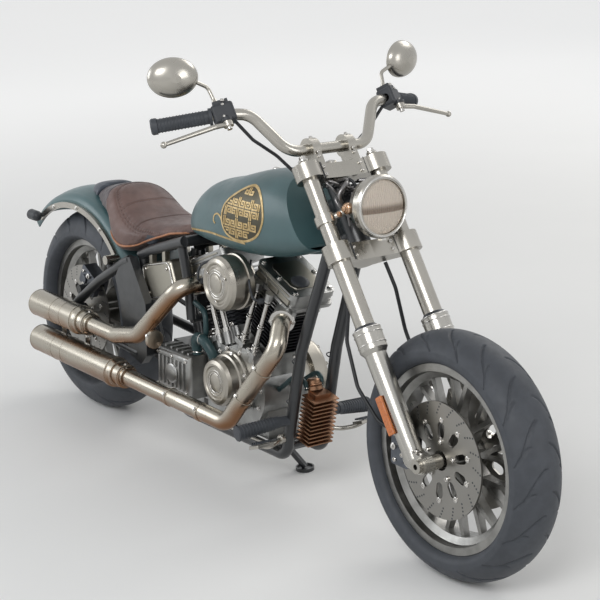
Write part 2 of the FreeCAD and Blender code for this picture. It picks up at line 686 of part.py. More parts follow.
def switch_housings():
    """The switch box at the inner end of each grip, with the lever's perch under it."""
    out = (BAR_END - BAR_HOUSING).normalize()
    body = block((-HOUSING_W / 2, -24, -26), (HOUSING_W / 2, 22, 24))
    body = body.makeFillet(7, body.Edges)
    heading = math.degrees(math.atan2(out.y, out.x))
    body = turned(body, ORIGIN, AXIS_Z, heading)
    body = moved(body, BAR_HOUSING)
    perch = rod(BAR_HOUSING + V(8, 0, -10), LEVER_PIVOT + V(0, 0, 9), 11)
    boss = rod(LEVER_PIVOT + V(0, 0, 7), LEVER_PIVOT + V(0, 0, 15), 15)
    reservoir = block((-20, -18, 20), (20, 18, RESERVOIR_TOP))
    reservoir = moved(turned(reservoir, ORIGIN, AXIS_Z, heading), BAR_HOUSING)
    solid = fused([body, perch, boss, reservoir])
    cut = rod(BAR_HOUSING - out * 60, BAR_HOUSING + out * 60, GRIP_BAR_R + SEAT_GAP)
    grip_room = rod(BAR_HOUSING + out * (HOUSING_W / 2 + 1 - SEAT_GAP), BAR_HOUSING + out * 70, 46)
    lever_room = rod(LEVER_PIVOT - V(0, 0, 30), LEVER_PIVOT + V(0, 0, 7), 22)
    inner = (BAR_HIGH - BAR_HOUSING).normalize()
    cut_thick = rod(BAR_HOUSING, BAR_HOUSING + inner * 60, BAR_R + SEAT_GAP)
    ball = Part.makeSphere(BAR_R + SEAT_GAP, BAR_HOUSING)
    return in_fork(on_both_sides(solid.cut([cut, cut_thick, ball, grip_room, lever_room])))


def levers():
    """Brake and clutch levers: a tapered blade that ends in a ball."""
    along = (LEVER_TIP - LEVER_PIVOT).normalize()
    bend = LEVER_PIVOT + along * 44 + V(10, 0, 0)
    eye = rod(LEVER_PIVOT - V(0, 0, 7), LEVER_PIVOT + V(0, 0, 6.7), 13)
    root = rod(LEVER_PIVOT, bend, 6.5)
    blade = Part.makeCone(6.5, 5.5, (LEVER_TIP - bend).Length, bend, LEVER_TIP - bend)
    ball = Part.makeSphere(8.5, LEVER_TIP)
    return in_fork(on_both_sides(fused([eye, root, Part.makeSphere(6.5, bend), blade, ball])))


def oval(x, half_w, half_h):
    ellipse = Part.Ellipse(V(x, half_w, 0), V(x, 0, half_h), V(x, 0, 0))
    return Part.Wire(ellipse.toShape())


def mirror_bowl():
    """The domed back of a mirror, its rim facing the rider."""
    rings = [(0, 1.0), (10, 0.98), (22, 0.84), (32, 0.56), (MIRROR_DEPTH, 0.2)]
    sections = [oval(x, MIRROR_HALF_W * part, MIRROR_HALF_H * part) for x, part in rings]
    return Part.makeLoft(sections, True)


def mirror_glass(gap):
    face = Part.Face(oval(0, MIRROR_HALF_W - WALL - gap, MIRROR_HALF_H - WALL - gap))
    return face.extrude(V(WALL - gap, 0, 0))


def mirror_placed(shape):
    """Stands a mirror piece upright on the machine, toed in towards the rider."""
    shape = turned(shape, ORIGIN, AXIS_Z, MIRROR_TOE)
    shape = turned(shape, ORIGIN, AXIS_Y, RAKE)
    return moved(shape, MIRROR_CENTRE)


def mirrors():
    bowl = mirror_placed(mirror_bowl())
    base = V(-5, 275, BAR_HOUSING.z + RESERVOIR_TOP + SEAT_GAP)
    neck = MIRROR_CENTRE + V(20, -22, -12)
    bend = V(-2, 282, 304)
    stem = tube([base + V(0, 0, 6), bend, neck], 5, 18)
    knuckle = Part.makeSphere(8, neck)
    foot = Part.makeCone(9, 6, 14, base, AXIS_Z)
    solid = fused([bowl, stem, knuckle, foot]).cut(mirror_placed(mirror_glass(0)))
    return in_fork(on_both_sides(solid))


def mirror_glasses():
    return in_fork(on_both_sides(mirror_placed(mirror_glass(SEAT_GAP))))


def reflectors():
    """Amber side reflectors, each on the outer face of its slider."""
    y = LEG_Y + LEG_R - 4
    slab = block((20, y + SEAT_GAP + 4, -680), (44, y + 13, -580))
    slab = slab.makeFillet(3, slab.Edges)
    foot = block((26, y - 6, -665), (38, y + 6, -595)).cut(slider_leg(SEAT_GAP))
    foot = max(foot.Solids, key=lambda part: part.CenterOfMass.y)
    return in_fork(on_both_sides(fused([slab, foot])))


def front_cables():
    """Brake hoses from the lower clamp to the calipers, and the cables from the switch boxes."""
    hose = tube(HOSE_ROUTE, HOSE_R, 60)
    cable = tube(CABLE_ROUTE, CABLE_R, 42)
    return in_fork(Part.makeCompound([hose, mirrored(hose), cable, mirrored(cable)]))


def cylinder_point(side, along, across, y=0.0):
    """A point on a cylinder: side +1 in front, -1 behind; across is positive outward of the V."""
    angle = math.radians(V_HALF_ANGLE)
    return V(V_X + side * (math.sin(angle) * along + math.cos(angle) * across), y,
             V_Z + math.cos(angle) * along - math.sin(angle) * across)


def cylinder_slab(side, low, high, half_l, y_low, y_high, corner):
    """A plate square to a cylinder, with rounded corners."""
    slab = Part.makeBox(2 * half_l, y_high - y_low, high - low, V(-half_l, y_low, low))
    slab = slab.makeFillet(corner, [e for e in slab.Edges if abs(e.tangentAt(e.FirstParameter).z) > 0.9])
    slab = turned(slab, ORIGIN, AXIS_Y, side * V_HALF_ANGLE)
    return moved(slab, V(V_X, 0, V_Z))


def cylinder_barrel(side):
    top = DECK + FIN_COUNT * FIN_PITCH + 4
    core = rod(cylinder_point(side, DECK + SEAT_GAP, 0), cylinder_point(side, top, 0), BORE_R)
    fins = []
    for i in range(FIN_COUNT):
        low = DECK + 6 + i * FIN_PITCH
        fins.append(cylinder_slab(side, low, low + FIN_T, FIN_HALF, -FIN_HALF, FIN_HALF, FIN_CORNER))
    return fused([core] + fins)


HEAD_BASE = DECK + FIN_COUNT * FIN_PITCH + 4 + SEAT_GAP
ROCKER_BASE = HEAD_BASE + HEAD_H
PORT_RISE = 13.0
PORT_DIRECTION = {1: (cylinder_point(1, 0, 1, -1) - cylinder_point(1, 0, 0)).normalize(), -1: V(0, -1, 0)}


def port_start(side):
    """Where each exhaust pipe leaves its head: ahead and to the right in front, to the right behind."""
    if side > 0:
        return cylinder_point(1, HEAD_BASE + PORT_RISE, FIN_HALF + 18, -FIN_HALF - 16)
    return cylinder_point(-1, HEAD_BASE + PORT_RISE, 34, -FIN_HALF - 12)


def cylinder_head(side):
    """A finned head, the port in its outer face, and the stepped rocker box with its bevelled lid."""
    half_w = ROCKER_HALF_W
    pieces = [cylinder_slab(side, HEAD_BASE, ROCKER_BASE + 2, FIN_HALF - 12, 14 - FIN_HALF, FIN_HALF - 14, 8)]
    for i in range(3):
        low = HEAD_BASE + 4 + i * FIN_PITCH
        pieces.append(cylinder_slab(side, low, low + FIN_T, FIN_HALF + 6, -FIN_HALF, FIN_HALF, FIN_CORNER))
    pieces.append(cylinder_slab(side, ROCKER_BASE, ROCKER_BASE + 9, ROCKER_HALF_L, -half_w, half_w, 26))
    pieces.append(cylinder_slab(side, ROCKER_BASE + 9, ROCKER_BASE + 30, ROCKER_HALF_L - 8, 8 - half_w, half_w - 8, 22))
    lid = cylinder_slab(side, ROCKER_BASE + 30, ROCKER_BASE + ROCKER_H, ROCKER_HALF_L - 3, 3 - half_w, half_w - 3, 24)
    pieces.append(lid)
    port = port_start(side)
    boss = rod(port - PORT_DIRECTION[side] * 52, port - PORT_DIRECTION[side] * SEAT_GAP, PIPE_R + 5)
    pieces.append(boss.cut(cylinder_slab(side, HEAD_BASE - 40, HEAD_BASE, FIN_HALF + 1, -FIN_HALF - 1,
                                         FIN_HALF + 1, FIN_CORNER)))
    for across in PUSHROD_SIDES[side]:
        boss_low = cylinder_point(side, ROCKER_BASE - 14 + SEAT_GAP, across, -PUSHROD_Y)
        pieces.append(rod(boss_low, cylinder_point(side, ROCKER_BASE + 9, across, -PUSHROD_Y), PUSHROD_R + 4))
    return fused(pieces)


def cylinders():
    return Part.makeCompound([cylinder_barrel(1), cylinder_barrel(-1)])


def cylinder_heads():
    return Part.makeCompound([cylinder_head(1), cylinder_head(-1)])


def pushrod_tubes():
    """Four pushrod tubes, each with a wider lower sleeve and a collar at its foot."""
    tubes = []
    for side in (1, -1):
        for across in PUSHROD_SIDES[side]:
            low = cylinder_point(side, TAPPET_AT + SEAT_GAP, across, -PUSHROD_Y)
            middle = cylinder_point(side, TAPPET_AT + 74, across, -PUSHROD_Y)
            collar = cylinder_point(side, TAPPET_AT + 12, across, -PUSHROD_Y)
            top = cylinder_point(side, ROCKER_BASE - 14, across, -PUSHROD_Y)
            tubes.append(fused([rod(low, top, PUSHROD_R - 1.5), rod(low, middle, PUSHROD_R),
                                rod(low, collar, PUSHROD_R + 3)]))
    return Part.makeCompound(tubes)


def crankcase():
    """The case halves, the decks under the cylinders, and the timing chest on the right."""
    drum = rod(V(CASE_X, -CASE_HALF_W, CASE_Z), V(CASE_X, CASE_HALF_W, CASE_Z), CASE_R)
    tail = block((706, -CASE_HALF_W, 190), (CASE_X, CASE_HALF_W, 345))
    sump = block((760, -52, CRADLE_Z + TUBE_R + SEAT_GAP), (980, 52, 240))
    decks = []
    ledge = block((V_X - 96, -CASE_HALF_W - 22, 360), (V_X + 104, -40, 404))
    for side in (1, -1):
        decks.append(cylinder_slab(side, 120, DECK, FIN_HALF - 6, 6 - FIN_HALF, FIN_HALF - 6, 16))
    chest = rounded_link((CAM_X, CAM_Z), (CAM_X + 30, CAM_Z + 48), 92, 58, -CASE_HALF_W - 20, -CASE_HALF_W + 4)
    tappets = []
    for side in (1, -1):
        for across in PUSHROD_SIDES[side]:
            top = cylinder_point(side, TAPPET_AT, across, -PUSHROD_Y)
            low = cylinder_point(side, TAPPET_AT - 36, across, -PUSHROD_Y)
            tappets.append(rod(low, top, PUSHROD_R + 5))
    ledge = ledge.cut(rod(V(CAM_X, -200, CAM_Z), V(CAM_X, -CASE_HALF_W - 19, CAM_Z), CAM_R + 20))
    return fused([drum, tail, sump, chest, ledge] + decks + tappets)


def cam_cover():
    """The round timing cover: stepped rings and a dished blank face."""
    back = -CASE_HALF_W - 20 - SEAT_GAP
    face = -CAM_FACE_Y
    return turned_on_y([(back, 0), (back, CAM_R + 14), (back - 10, CAM_R + 13), (back - 13, CAM_R + 8),
                        (back - 26, CAM_R + 7), (back - 29, CAM_R + 2), (face + 14, CAM_R),
                        (face + 4, CAM_R - 5), (face, CAM_R - 14), (face, CAM_R - 20),
                        (face + 3, CAM_R - 23), (face + 3, 0)], CAM_X, CAM_Z)


def air_cleaner():
    """The round air cleaner with its rolled rim and blank raised face, and the intake behind it."""
    back, face = -AIR_BACK_Y, -AIR_FACE_Y
    drum = turned_on_y([(back, 0), (back, AIR_R + 2), (back - 14, AIR_R + 2), (back - 16, AIR_R - 2),
                        (back - 30, AIR_R), (face + 16, AIR_R), (face + 5, AIR_R - 6),
                        (face, AIR_R - 14), (face, AIR_R - 18), (face + 5, AIR_R - 23),
                        (face + 5, AIR_R - 28), (face + 1, AIR_R - 33), (face + 1, 0)], AIR_X, AIR_Z)
    neck = rod(V(V_X + 12, back + 1, AIR_Z - 30), V(V_X, -34, AIR_Z - 62), 24)
    middle = V(V_X, 0, AIR_Z - 62)
    body = rod(middle - V(0, 40, 0), middle + V(0, 36, 0), 27)
    runners = []
    for side in (1, -1):
        port = cylinder_point(side, HEAD_BASE + 18, -FIN_HALF - 6 - SEAT_GAP)
        elbow = cylinder_point(side, HEAD_BASE + 18, -FIN_HALF - 26)
        runners += [rod(port, elbow, 19), Part.makeSphere(19, elbow), rod(elbow, middle, 19)]
    return fused([drum, neck, body] + runners)


def transmission():
    """The gearbox behind the engine, with its ribbed side cover."""
    box = block((508, -62, 204), (706 - SEAT_GAP, 84, 345))
    cover = block((520, -132, 214), (696, -62, 342))
    cover = cover.makeFillet(16, [e for e in cover.Edges if e.CenterOfMass.y < -100])
    ribs = []
    for i in range(5):
        x = 548 + i * 30
        ribs.append(block((x, -118, 338), (x + 8, -66, 347)))
    shaft = rod(V(FRONT_PULLEY_X, 80, PIVOT_Z), V(FRONT_PULLEY_X, BELT_Y - BELT_W / 2, PIVOT_Z), 30)
    pulley_body = rod(V(FRONT_PULLEY_X, BELT_Y - BELT_W / 2 - 2, PIVOT_Z),
                      V(FRONT_PULLEY_X, BELT_Y + BELT_W / 2 + 2, PIVOT_Z), FRONT_PULLEY_R)
    foot = block((600, -50, CRADLE_Z + TUBE_R + SEAT_GAP), (650, 50, 210))
    return fused([box, cover, shaft, pulley_body, foot] + ribs)


def primary_cover():
    """The long chain case on the left, with a bevelled edge."""
    outer = rounded_link((CASE_X, CASE_Z), (PRIMARY_REAR_X, PIVOT_Z), PRIMARY_FRONT_R, PRIMARY_REAR_R,
                         PRIMARY_Y, PRIMARY_Y + PRIMARY_T)
    rim_edges = [e for e in outer.Edges if e.BoundBox.YMin > PRIMARY_Y + PRIMARY_T - 1]
    outer = outer.makeFillet(20, rim_edges)
    neck = rod(V(CASE_X, CASE_HALF_W + SEAT_GAP, CASE_Z), V(CASE_X, PRIMARY_Y, CASE_Z), PRIMARY_FRONT_R - 14)
    return fused([outer, neck])


def drive_belt():
    y_low, y_high = BELT_Y - BELT_W / 2, BELT_Y + BELT_W / 2
    gap = 0.6
    rear, front = (0, REAR_TYRE_R), (FRONT_PULLEY_X, PIVOT_Z)
    outer = rounded_link(rear, front, REAR_PULLEY_R + gap + BELT_T, FRONT_PULLEY_R + gap + BELT_T, y_low, y_high)
    inner = rounded_link(rear, front, REAR_PULLEY_R + gap, FRONT_PULLEY_R + gap, y_low - 1, y_high + 1)
    return outer.cut(inner)


def lower_cross_rod(grow):
    return rod(V(1080, -62, 172), V(1080, 62, 172), 12 + grow)


def oil_cooler():
    """A small finned cooler between the downtubes."""
    core = block((0, -26, 0), (34, 26, 150))
    fins = [block((-4, -42, 4 + 12 * i), (52, 42, 7.5 + 12 * i)) for i in range(12)]
    solid = fused([core] + fins)
    solid = moved(turned(solid, ORIGIN, AXIS_Y, 12), V(1096, 0, 188))
    foot = block((1082, -14, 176), (1114, 14, 198)).cut(lower_cross_rod(SEAT_GAP))
    foot = max(foot.Solids, key=lambda part: part.Volume)
    return fused([solid, foot])


def exhaust_path_front():
    port = port_start(1)
    return [port, port + PORT_DIRECTION[1] * 24, V(1134, -136, 470), V(962, -182, 228),
            V(760, -MUFFLER_Y, LOWER_MUFFLER_Z), V(LOWER_MUFFLER_FRONT - 20, -MUFFLER_Y, LOWER_MUFFLER_Z)]


def exhaust_path_rear():
    port = port_start(-1)
    return [port, port + PORT_DIRECTION[-1] * 74, V(520, -MUFFLER_Y + 4, UPPER_MUFFLER_Z + 26),
            V(400, -MUFFLER_Y, UPPER_MUFFLER_Z), V(UPPER_MUFFLER_FRONT - 20, -MUFFLER_Y, UPPER_MUFFLER_Z)]


def exhaust_pipes():
    return Part.makeCompound([tube(exhaust_path_front(), PIPE_R, PIPE_BEND),
                              tube(exhaust_path_rear(), PIPE_R, PIPE_BEND)])


def muffler(z, front):
    """One slip-on muffler: stepped joint, cone, straight body and an open tail."""
    rear = MUFFLER_END_X
    inlet = PIPE_R + SEAT_GAP
    profile = [(front, inlet), (front, inlet + 5), (front - 14, inlet + 5), (front - 16, inlet + 9),
               (front - 30, inlet + 9), (front - 32, inlet + 6), (front - 70, MUFFLER_R - 2),
               (front - 72, MUFFLER_R + 1), (front - 84, MUFFLER_R + 1), (front - 86, MUFFLER_R),
               (rear + 6, MUFFLER_R), (rear, MUFFLER_R - 3), (rear, MUFFLER_R - 8), (rear + 46, MUFFLER_R - 9),
               (rear + 48, 0), (front - 34, 0), (front - 34, inlet)]
    points = [V(x, 0, radius) for x, radius in profile]
    face = Part.Face(Part.makePolygon(points + points[:1]))
    return moved(face.revolve(ORIGIN, AXIS_X, 360), V(0, -MUFFLER_Y, z))


def mufflers():
    return Part.makeCompound([muffler(UPPER_MUFFLER_Z, UPPER_MUFFLER_FRONT),
                              muffler(LOWER_MUFFLER_Z, LOWER_MUFFLER_FRONT)])


def frame():
    """Head tube, backbone, a double cradle, the seat rails and their posts."""
    head = rod(fork_point(0, 0, HEAD_LOW), fork_point(0, 0, HEAD_TOP), HEAD_R)
    backbone = tube(BACKBONE, BACKBONE_R, 200)
    side = [
        tube([fork_point(-6, 12, -146), V(1246, 50, 744), DOWNTUBE_TOP, DOWNTUBE_FOOT,
              V(600, CRADLE_Y, CRADLE_Z), V(478, 70, 172), V(PIVOT_X, 70, PIVOT_Z), V(404, 76, 430),
              V(396, RAIL_Y - 6, 580)], TUBE_R, 38),
        seat_rail(TUBE_R),
        tube([V(608, RAIL_Y - 6, 656), V(636, 90, 540), V(650, 90, 440)], POST_R, 60),
        rod(V(PIVOT_X, 56, PIVOT_Z), V(PIVOT_X, 88, PIVOT_Z), PIVOT_R + 14),
    ]
    across = [rod(V(RAIL_FRONT_X, -RAIL_Y, RAIL_FRONT_Z), V(RAIL_FRONT_X, RAIL_Y, RAIL_FRONT_Z), TUBE_R),
              rod(V(650, -90, 440), V(650, 90, 440), POST_R - 2),
              rod(V(1010, -64, CRADLE_Z), V(1010, 64, CRADLE_Z), TUBE_R),
              rod(V(780, -CRADLE_Y, CRADLE_Z), V(780, CRADLE_Y, CRADLE_Z), TUBE_R),
              rod(V(625, -CRADLE_Y, CRADLE_Z), V(625, CRADLE_Y, CRADLE_Z), TUBE_R),
              lower_cross_rod(0)]
    pucks = []
    for x in (860, 960):
        slope = (BACKBONE[1].z - RAIL_FRONT_Z) / (BACKBONE[1].x - RAIL_FRONT_X)
        z = RAIL_FRONT_Z + slope * (x - RAIL_FRONT_X) - 12
        half = TUNNEL_HALF - SEAT_GAP
        pucks.append(rod(V(x, -half, z), V(x, half, z), 10))
    gusset = plate([(1292, 800), (1236, 872), (1150, 828), (1236, 752)], -5, 5)
    solid = fused([head, backbone, gusset] + pucks + stand_lug() + side + [mirrored(s) for s in side] + across)
    bores = [rod(fork_point(0, 0, HEAD_LOW - 60), fork_point(0, 0, HEAD_TOP + 60), STEM_R + RUN_GAP),
             rod(V(PIVOT_X, -160, PIVOT_Z), V(PIVOT_X, 160, PIVOT_Z), PIVOT_R + SEAT_GAP)]
    return solid.cut(bores)


def stand_lug():
    """The hanger under the left cradle tube, with the pin that the side stand turns on."""
    x, z = STAND_PIVOT.x, STAND_PIVOT.z
    hanger = plate([(x - 24, CRADLE_Z), (x + 16, CRADLE_Z), (x + 8, z - 24), (x - 20, z - 24)],
                   STAND_PIVOT.y - 32, STAND_PIVOT.y - 22)
    boss = rod(STAND_PIVOT - STAND_AXIS * 38, STAND_PIVOT - STAND_AXIS * (STAND_EYE_HALF + 1), 13)
    pin = rod(STAND_PIVOT - STAND_AXIS * 20, STAND_PIVOT + STAND_AXIS * (STAND_EYE_HALF + 4), STAND_PIN_R)
    head = rod(STAND_PIVOT + STAND_AXIS * (STAND_EYE_HALF + 1), STAND_PIVOT + STAND_AXIS * (STAND_EYE_HALF + 5), 12)
    return [hanger, boss, pin, head]


def caliper_bracket():
    """The lug on the right arm that the rear caliper is bolted to."""
    angle = math.radians(REAR_CALIPER_ANGLE)
    face = REAR_DISC_Y + CALIPER_SLOT_HALF + CALIPER_T + PISTON_OUT + SEAT_GAP
    bolt = REAR_AXLE + V(math.cos(angle), 0, math.sin(angle)) * (CALIPER_R - 4)
    bolt += V(math.sin(angle), 0, -math.cos(angle)) * PISTON_APART
    boss = rod(bolt + V(0, face, 0), bolt + V(0, ARM_Y + 8, 0), 14)
    web = rod(bolt + V(0, ARM_Y - 4, 0), V(bolt.x + 6, ARM_Y, bolt.z - 28), 12)
    return [mirrored(boss), mirrored(web)]


def swingarm():
    """The triangulated rear arm that looks like a rigid tail, with its axle plates."""
    axle_z = REAR_TYRE_R
    upper = tube([V(14, ARM_Y, axle_z + 12), V(64, ARM_Y, 382), V(196, ARM_Y, 472), V(351, ARM_Y, 558),
                  V(384, ARM_Y, 572)], ARM_R, 60)
    lower = rod(V(10, ARM_Y, axle_z - 10), V(430, ARM_Y, PIVOT_Z - 6), ARM_R)
    web = plate([(312, 506), (336, 440), (352, 360), (392, 282), (PIVOT_X, 268), (486, 300), (488, 400),
                 (484, 458), (424, 546), (398, 584), (352, 572)], ARM_Y - 13, ARM_Y + 13)
    ear = rounded_link((0, axle_z), (70, axle_z + 22), 32, 26, ARM_Y - ARM_R + 3, ARM_Y + ARM_R - 3)
    spacer_room = rod(V(0, 0, axle_z), V(0, ARM_Y - ARM_R + 3, axle_z), SPACER_R + SEAT_GAP)
    nut_room = rod(V(0, ARM_Y + ARM_R - 3, axle_z), V(0, 300, axle_z), AXLE_R + 7)
    axle_hole = rod(V(0, 0, axle_z), V(0, 300, axle_z), AXLE_R + SEAT_GAP)
    side = fused([upper, lower, web, ear]).cut([spacer_room, nut_room, axle_hole])
    spindle = rod(V(PIVOT_X, -ARM_Y, PIVOT_Z), V(PIVOT_X, ARM_Y, PIVOT_Z), PIVOT_R)
    bridge = rod(V(348, -ARM_Y, 446), V(348, ARM_Y, 446), 13)
    strut_foot = V(FENDER_EYE.x, ARM_Y, FENDER_EYE.z - 42)
    strut = rod(strut_foot, V(FENDER_EYE.x, ARM_Y, FENDER_EYE.z - FENDER_EYE_R - SEAT_GAP), 9)
    return fused([side, mirrored(side), spindle, bridge, strut, mirrored(strut)] + caliper_bracket())


def rear_fender():
    """A crowned fender with rolled sides that rings the top of the rear tyre."""
    def outline(inset):
        half, crown = FENDER_HALF_W - inset, FENDER_R - inset
        shoulder = crown - 26
        foot, bend = V(FENDER_SIDE_R, half, 0), V(shoulder - 12, half, 0)
        roll, top = V(shoulder + 3, half - 10, 0), V(shoulder + 10, half - 24, 0)
        side = [Part.makeLine(foot, bend), Part.Arc(bend, roll, top).toShape()]
        return side + [mirrored(edge) for edge in side] + [Part.Arc(top, V(crown, 0, 0), V(top.x, -top.y, 0)).toShape()]

    ends = [Part.makeLine(V(FENDER_SIDE_R, side * FENDER_HALF_W, 0),
                          V(FENDER_SIDE_R, side * (FENDER_HALF_W - FENDER_T), 0)) for side in (1, -1)]
    wire = Part.Wire(Part.__sortEdges__(outline(0) + outline(FENDER_T) + ends))
    face = turned(Part.Face(wire), ORIGIN, AXIS_Y, -FENDER_FRONT_ANGLE)
    solid = face.revolve(ORIGIN, AXIS_Y, FENDER_FRONT_ANGLE - FENDER_TAIL_ANGLE)
    return moved(solid, REAR_AXLE)


def ring_sector(radius, width, y_low, y_high, from_angle, to_angle):
    """A curved bar round the rear axle, between two angles up from the forward direction."""
    face = Part.Face(Part.makePolygon([V(radius - width / 2, y_low, 0), V(radius + width / 2, y_low, 0),
                                       V(radius + width / 2, y_high, 0), V(radius - width / 2, y_high, 0),
                                       V(radius - width / 2, y_low, 0)]))
    face = turned(face, ORIGIN, AXIS_Y, -from_angle)
    return moved(face.revolve(ORIGIN, AXIS_Y, from_angle - to_angle), REAR_AXLE)


def fender_rails():
    """The pale struts along the fender's lower edges, each with an eye at the front."""
    inside = FENDER_HALF_W + SEAT_GAP
    bar = ring_sector(FENDER_RAIL_R, FENDER_RAIL_W, inside, inside + 11, 41, 128)
    eye = rod(FENDER_EYE + V(0, inside, 0), FENDER_EYE + V(0, ARM_Y + 18, 0), FENDER_EYE_R)
    return on_both_sides(fused([bar, eye]))


def rear_lamps():
    """Bullet lamps at the rear ends of the fender rails."""
    angle = math.radians(124)
    y = FENDER_HALF_W + SEAT_GAP + 11 + SEAT_GAP
    at = REAR_AXLE + V(FENDER_RAIL_R * math.cos(angle), y, FENDER_RAIL_R * math.sin(angle))
    stem = rod(at, at + V(0, 20, 0), 7)
    shell = at + V(-8, 26, 0)
    body = fused([rod(shell - V(22, 0, 0), shell + V(14, 0, 0), 17), Part.makeSphere(17, shell + V(14, 0, 0)), stem])
    return on_both_sides(body)


def rounded_section(x, low, high, half_w):
    """A closed section across the machine, wide at its middle and rounder above than below."""
    height = high - low
    right = [(0.60, 0.0), (0.95, 0.16), (1.0, 0.42), (0.86, 0.74), (0.5, 0.95)]
    points = [V(x, 0, low)] + [V(x, half_w * a, low + height * b) for a, b in right]
    points += [V(x, 0, high)]
    points += [V(x, -p.y, p.z) for p in reversed(points[1:-1])]
    curve = Part.BSplineCurve()
    curve.interpolate(points, PeriodicFlag=True)
    return Part.Wire(curve.toShape())


TANK_SECTIONS = [(TANK_TAIL_X, 692, 742, 56), (652, 691, 781, 88), (690, 690, 822, 110), (820, 688, 877, 138),
                 (950, 690, 914, 144), (1070, 702, 926, 134), (1210, 740, 898, 110)]


def tank_form(inset):
    """The tank's outer form, or the same form drawn in on every side."""
    wires = [rounded_section(x, low + inset, high - inset, half - inset) for x, low, high, half in TANK_SECTIONS]
    form = Part.makeLoft(wires, True, False)
    ahead = Part.makeBox(600, 600, 1200, V(0, -300, -600))
    ahead.Placement = FreeCAD.Placement(fork_point(-TANK_FACE - inset, 0, 0), FreeCAD.Rotation(AXIS_Y, -RAKE))
    behind = block((400, -200, 500), (TANK_SECTIONS[0][0] + inset, 200, 900))
    return form.cut([ahead, behind])


def backbone_tunnel(grow):
    """The room for the backbone, open below."""
    start, corner, end = BACKBONE
    tail = end + (end - corner) * 0.4
    half = TUNNEL_HALF + grow
    ridge = tube([start, corner, tail], half + 0.5, 200)
    slot = plate([(start.x, start.z), (corner.x, corner.z), (tail.x, tail.z), (tail.x, 560), (start.x, 560)],
                 -half, half)
    return ridge, slot


def fuel_tank():
    """The teardrop tank: a hollow shell that saddles the backbone."""
    shell = tank_form(0).cut(backbone_tunnel(0))
    hollow = tank_form(WALL).cut(backbone_tunnel(WALL))
    filler = Part.makeCylinder(CAP_R + SEAT_GAP, 60, V(0, 0, -30), AXIS_Z)
    filler.Placement = CAP_PLACE.multiply(filler.Placement)
    return shell.cut(hollow).cut(filler)


def fuel_cap():
    """The flush filler cap, left of the ridge, in the tank's filler hole."""
    cap = fused([Part.makeCylinder(CAP_R, 26, V(0, 0, -16), AXIS_Z),
                 Part.makeCone(CAP_R, CAP_R - 6, 5, V(0, 0, 10), AXIS_Z)])
    cap.Placement = CAP_PLACE.multiply(cap.Placement)
    return cap


FENDER_TOP = REAR_TYRE_R + FENDER_R
SEAT_SECTIONS = [(98, FENDER_TOP - 32, FENDER_TOP + 30, 78), (190, FENDER_TOP - 54, FENDER_TOP + 36, 108),
                 (250, 612, 744, 130), (290, 578, 722, 139), (350, 588, 696, 138), (396, 611, 685, 132),
                 (490, 647, 686, 106), (560, 668, 697, 84), (TANK_TAIL_X - SEAT_GAP, 686, 704, 60)]
PAD_SECTIONS = [(4, FENDER_TOP - 22, FENDER_TOP + 10, 40), (30, FENDER_TOP - 28, FENDER_TOP + 20, 60),
                (98 - SEAT_GAP, FENDER_TOP - 32, FENDER_TOP + 30, 78)]


def over_fender(sections):
    """A pad lofted through its sections, hollowed to sit on the fender with a skirt past each side."""
    form = Part.makeLoft([rounded_section(*s) for s in sections], True, False)
    half = V(0, FENDER_HALF_W + SEAT_GAP, 0)
    arch = rod(REAR_AXLE - half, REAR_AXLE + half, FENDER_R + SEAT_GAP)
    return form.cut(arch)


def seat():
    """The main seat, with a bumper under each side that stands on the seat rail."""
    bumper = block((430, RAIL_Y - 14, 590), (466, RAIL_Y + 4, 645)).cut(seat_rail(TUBE_R + SEAT_GAP))
    upper = max(bumper.Solids, key=lambda solid: solid.CenterOfMass.z)
    return fused([over_fender(SEAT_SECTIONS), upper, mirrored(upper)])


def seat_pad_rear():
    return over_fender(PAD_SECTIONS)


def seat_rail(radius):
    """The seat rail's outline on the left side, also used to cut what it carries."""
    return tube([V(RAIL_FRONT_X, RAIL_Y, RAIL_FRONT_Z), V(460, RAIL_Y, 612), V(396, RAIL_Y, 586)], radius, 90)


def oil_tank():
    """The oil tank behind the engine, hung from the seat rails by four lugs."""
    body = plate([(416, 562), (438, 454), (612, 498), (566, 602)], -OIL_TANK_HALF_W, OIL_TANK_HALF_W)
    body = body.makeFillet(13, body.Edges)
    lugs = [block((x, RAIL_Y - 8, 560), (x + 16, RAIL_Y + 8, 640)) for x in (452, 524)]
    lugs = fused(lugs).cut(seat_rail(TUBE_R + SEAT_GAP))
    lugs = Part.makeCompound([lug for lug in lugs.Solids if lug.CenterOfMass.z < 600])
    return fused([body] + lugs.Solids + mirrored(lugs).Solids)


def foot_controls():
    """Forward foot pegs on their arms, with the brake pedal on the right."""
    downtube = rod(DOWNTUBE_TOP, DOWNTUBE_FOOT, TUBE_R + SEAT_GAP)
    arm = rod(V(1098, 66, 250), V(1090, 100, 250), 14).cut(downtube)
    peg = Part.makeCone(16, 20, 120, V(1090, 100, 250), V(-20, 130, -16))
    return on_both_sides(fused([arm, peg]))


def side_stand():
    """The stand: an eye on its pin, a round leg and a dished foot."""
    leg = rod(STAND_PIVOT, STAND_FOOT + FLOOR_UP * 10, STAND_LEG_R)
    eye = rod(STAND_PIVOT - STAND_AXIS * STAND_EYE_HALF, STAND_PIVOT + STAND_AXIS * STAND_EYE_HALF, 15)
    pin_hole = rod(STAND_PIVOT - STAND_AXIS * 30, STAND_PIVOT + STAND_AXIS * 30, STAND_PIN_R + RUN_GAP)
    foot = rod(STAND_FOOT, STAND_FOOT + FLOOR_UP * 5, STAND_FOOT_R)
    rim_ring = sleeve(STAND_FOOT + FLOOR_UP * 4, STAND_FOOT + FLOOR_UP * 10, STAND_FOOT_R, STAND_FOOT_R - 4)
    return fused([eye, leg, foot, rim_ring]).cut(pin_hole)


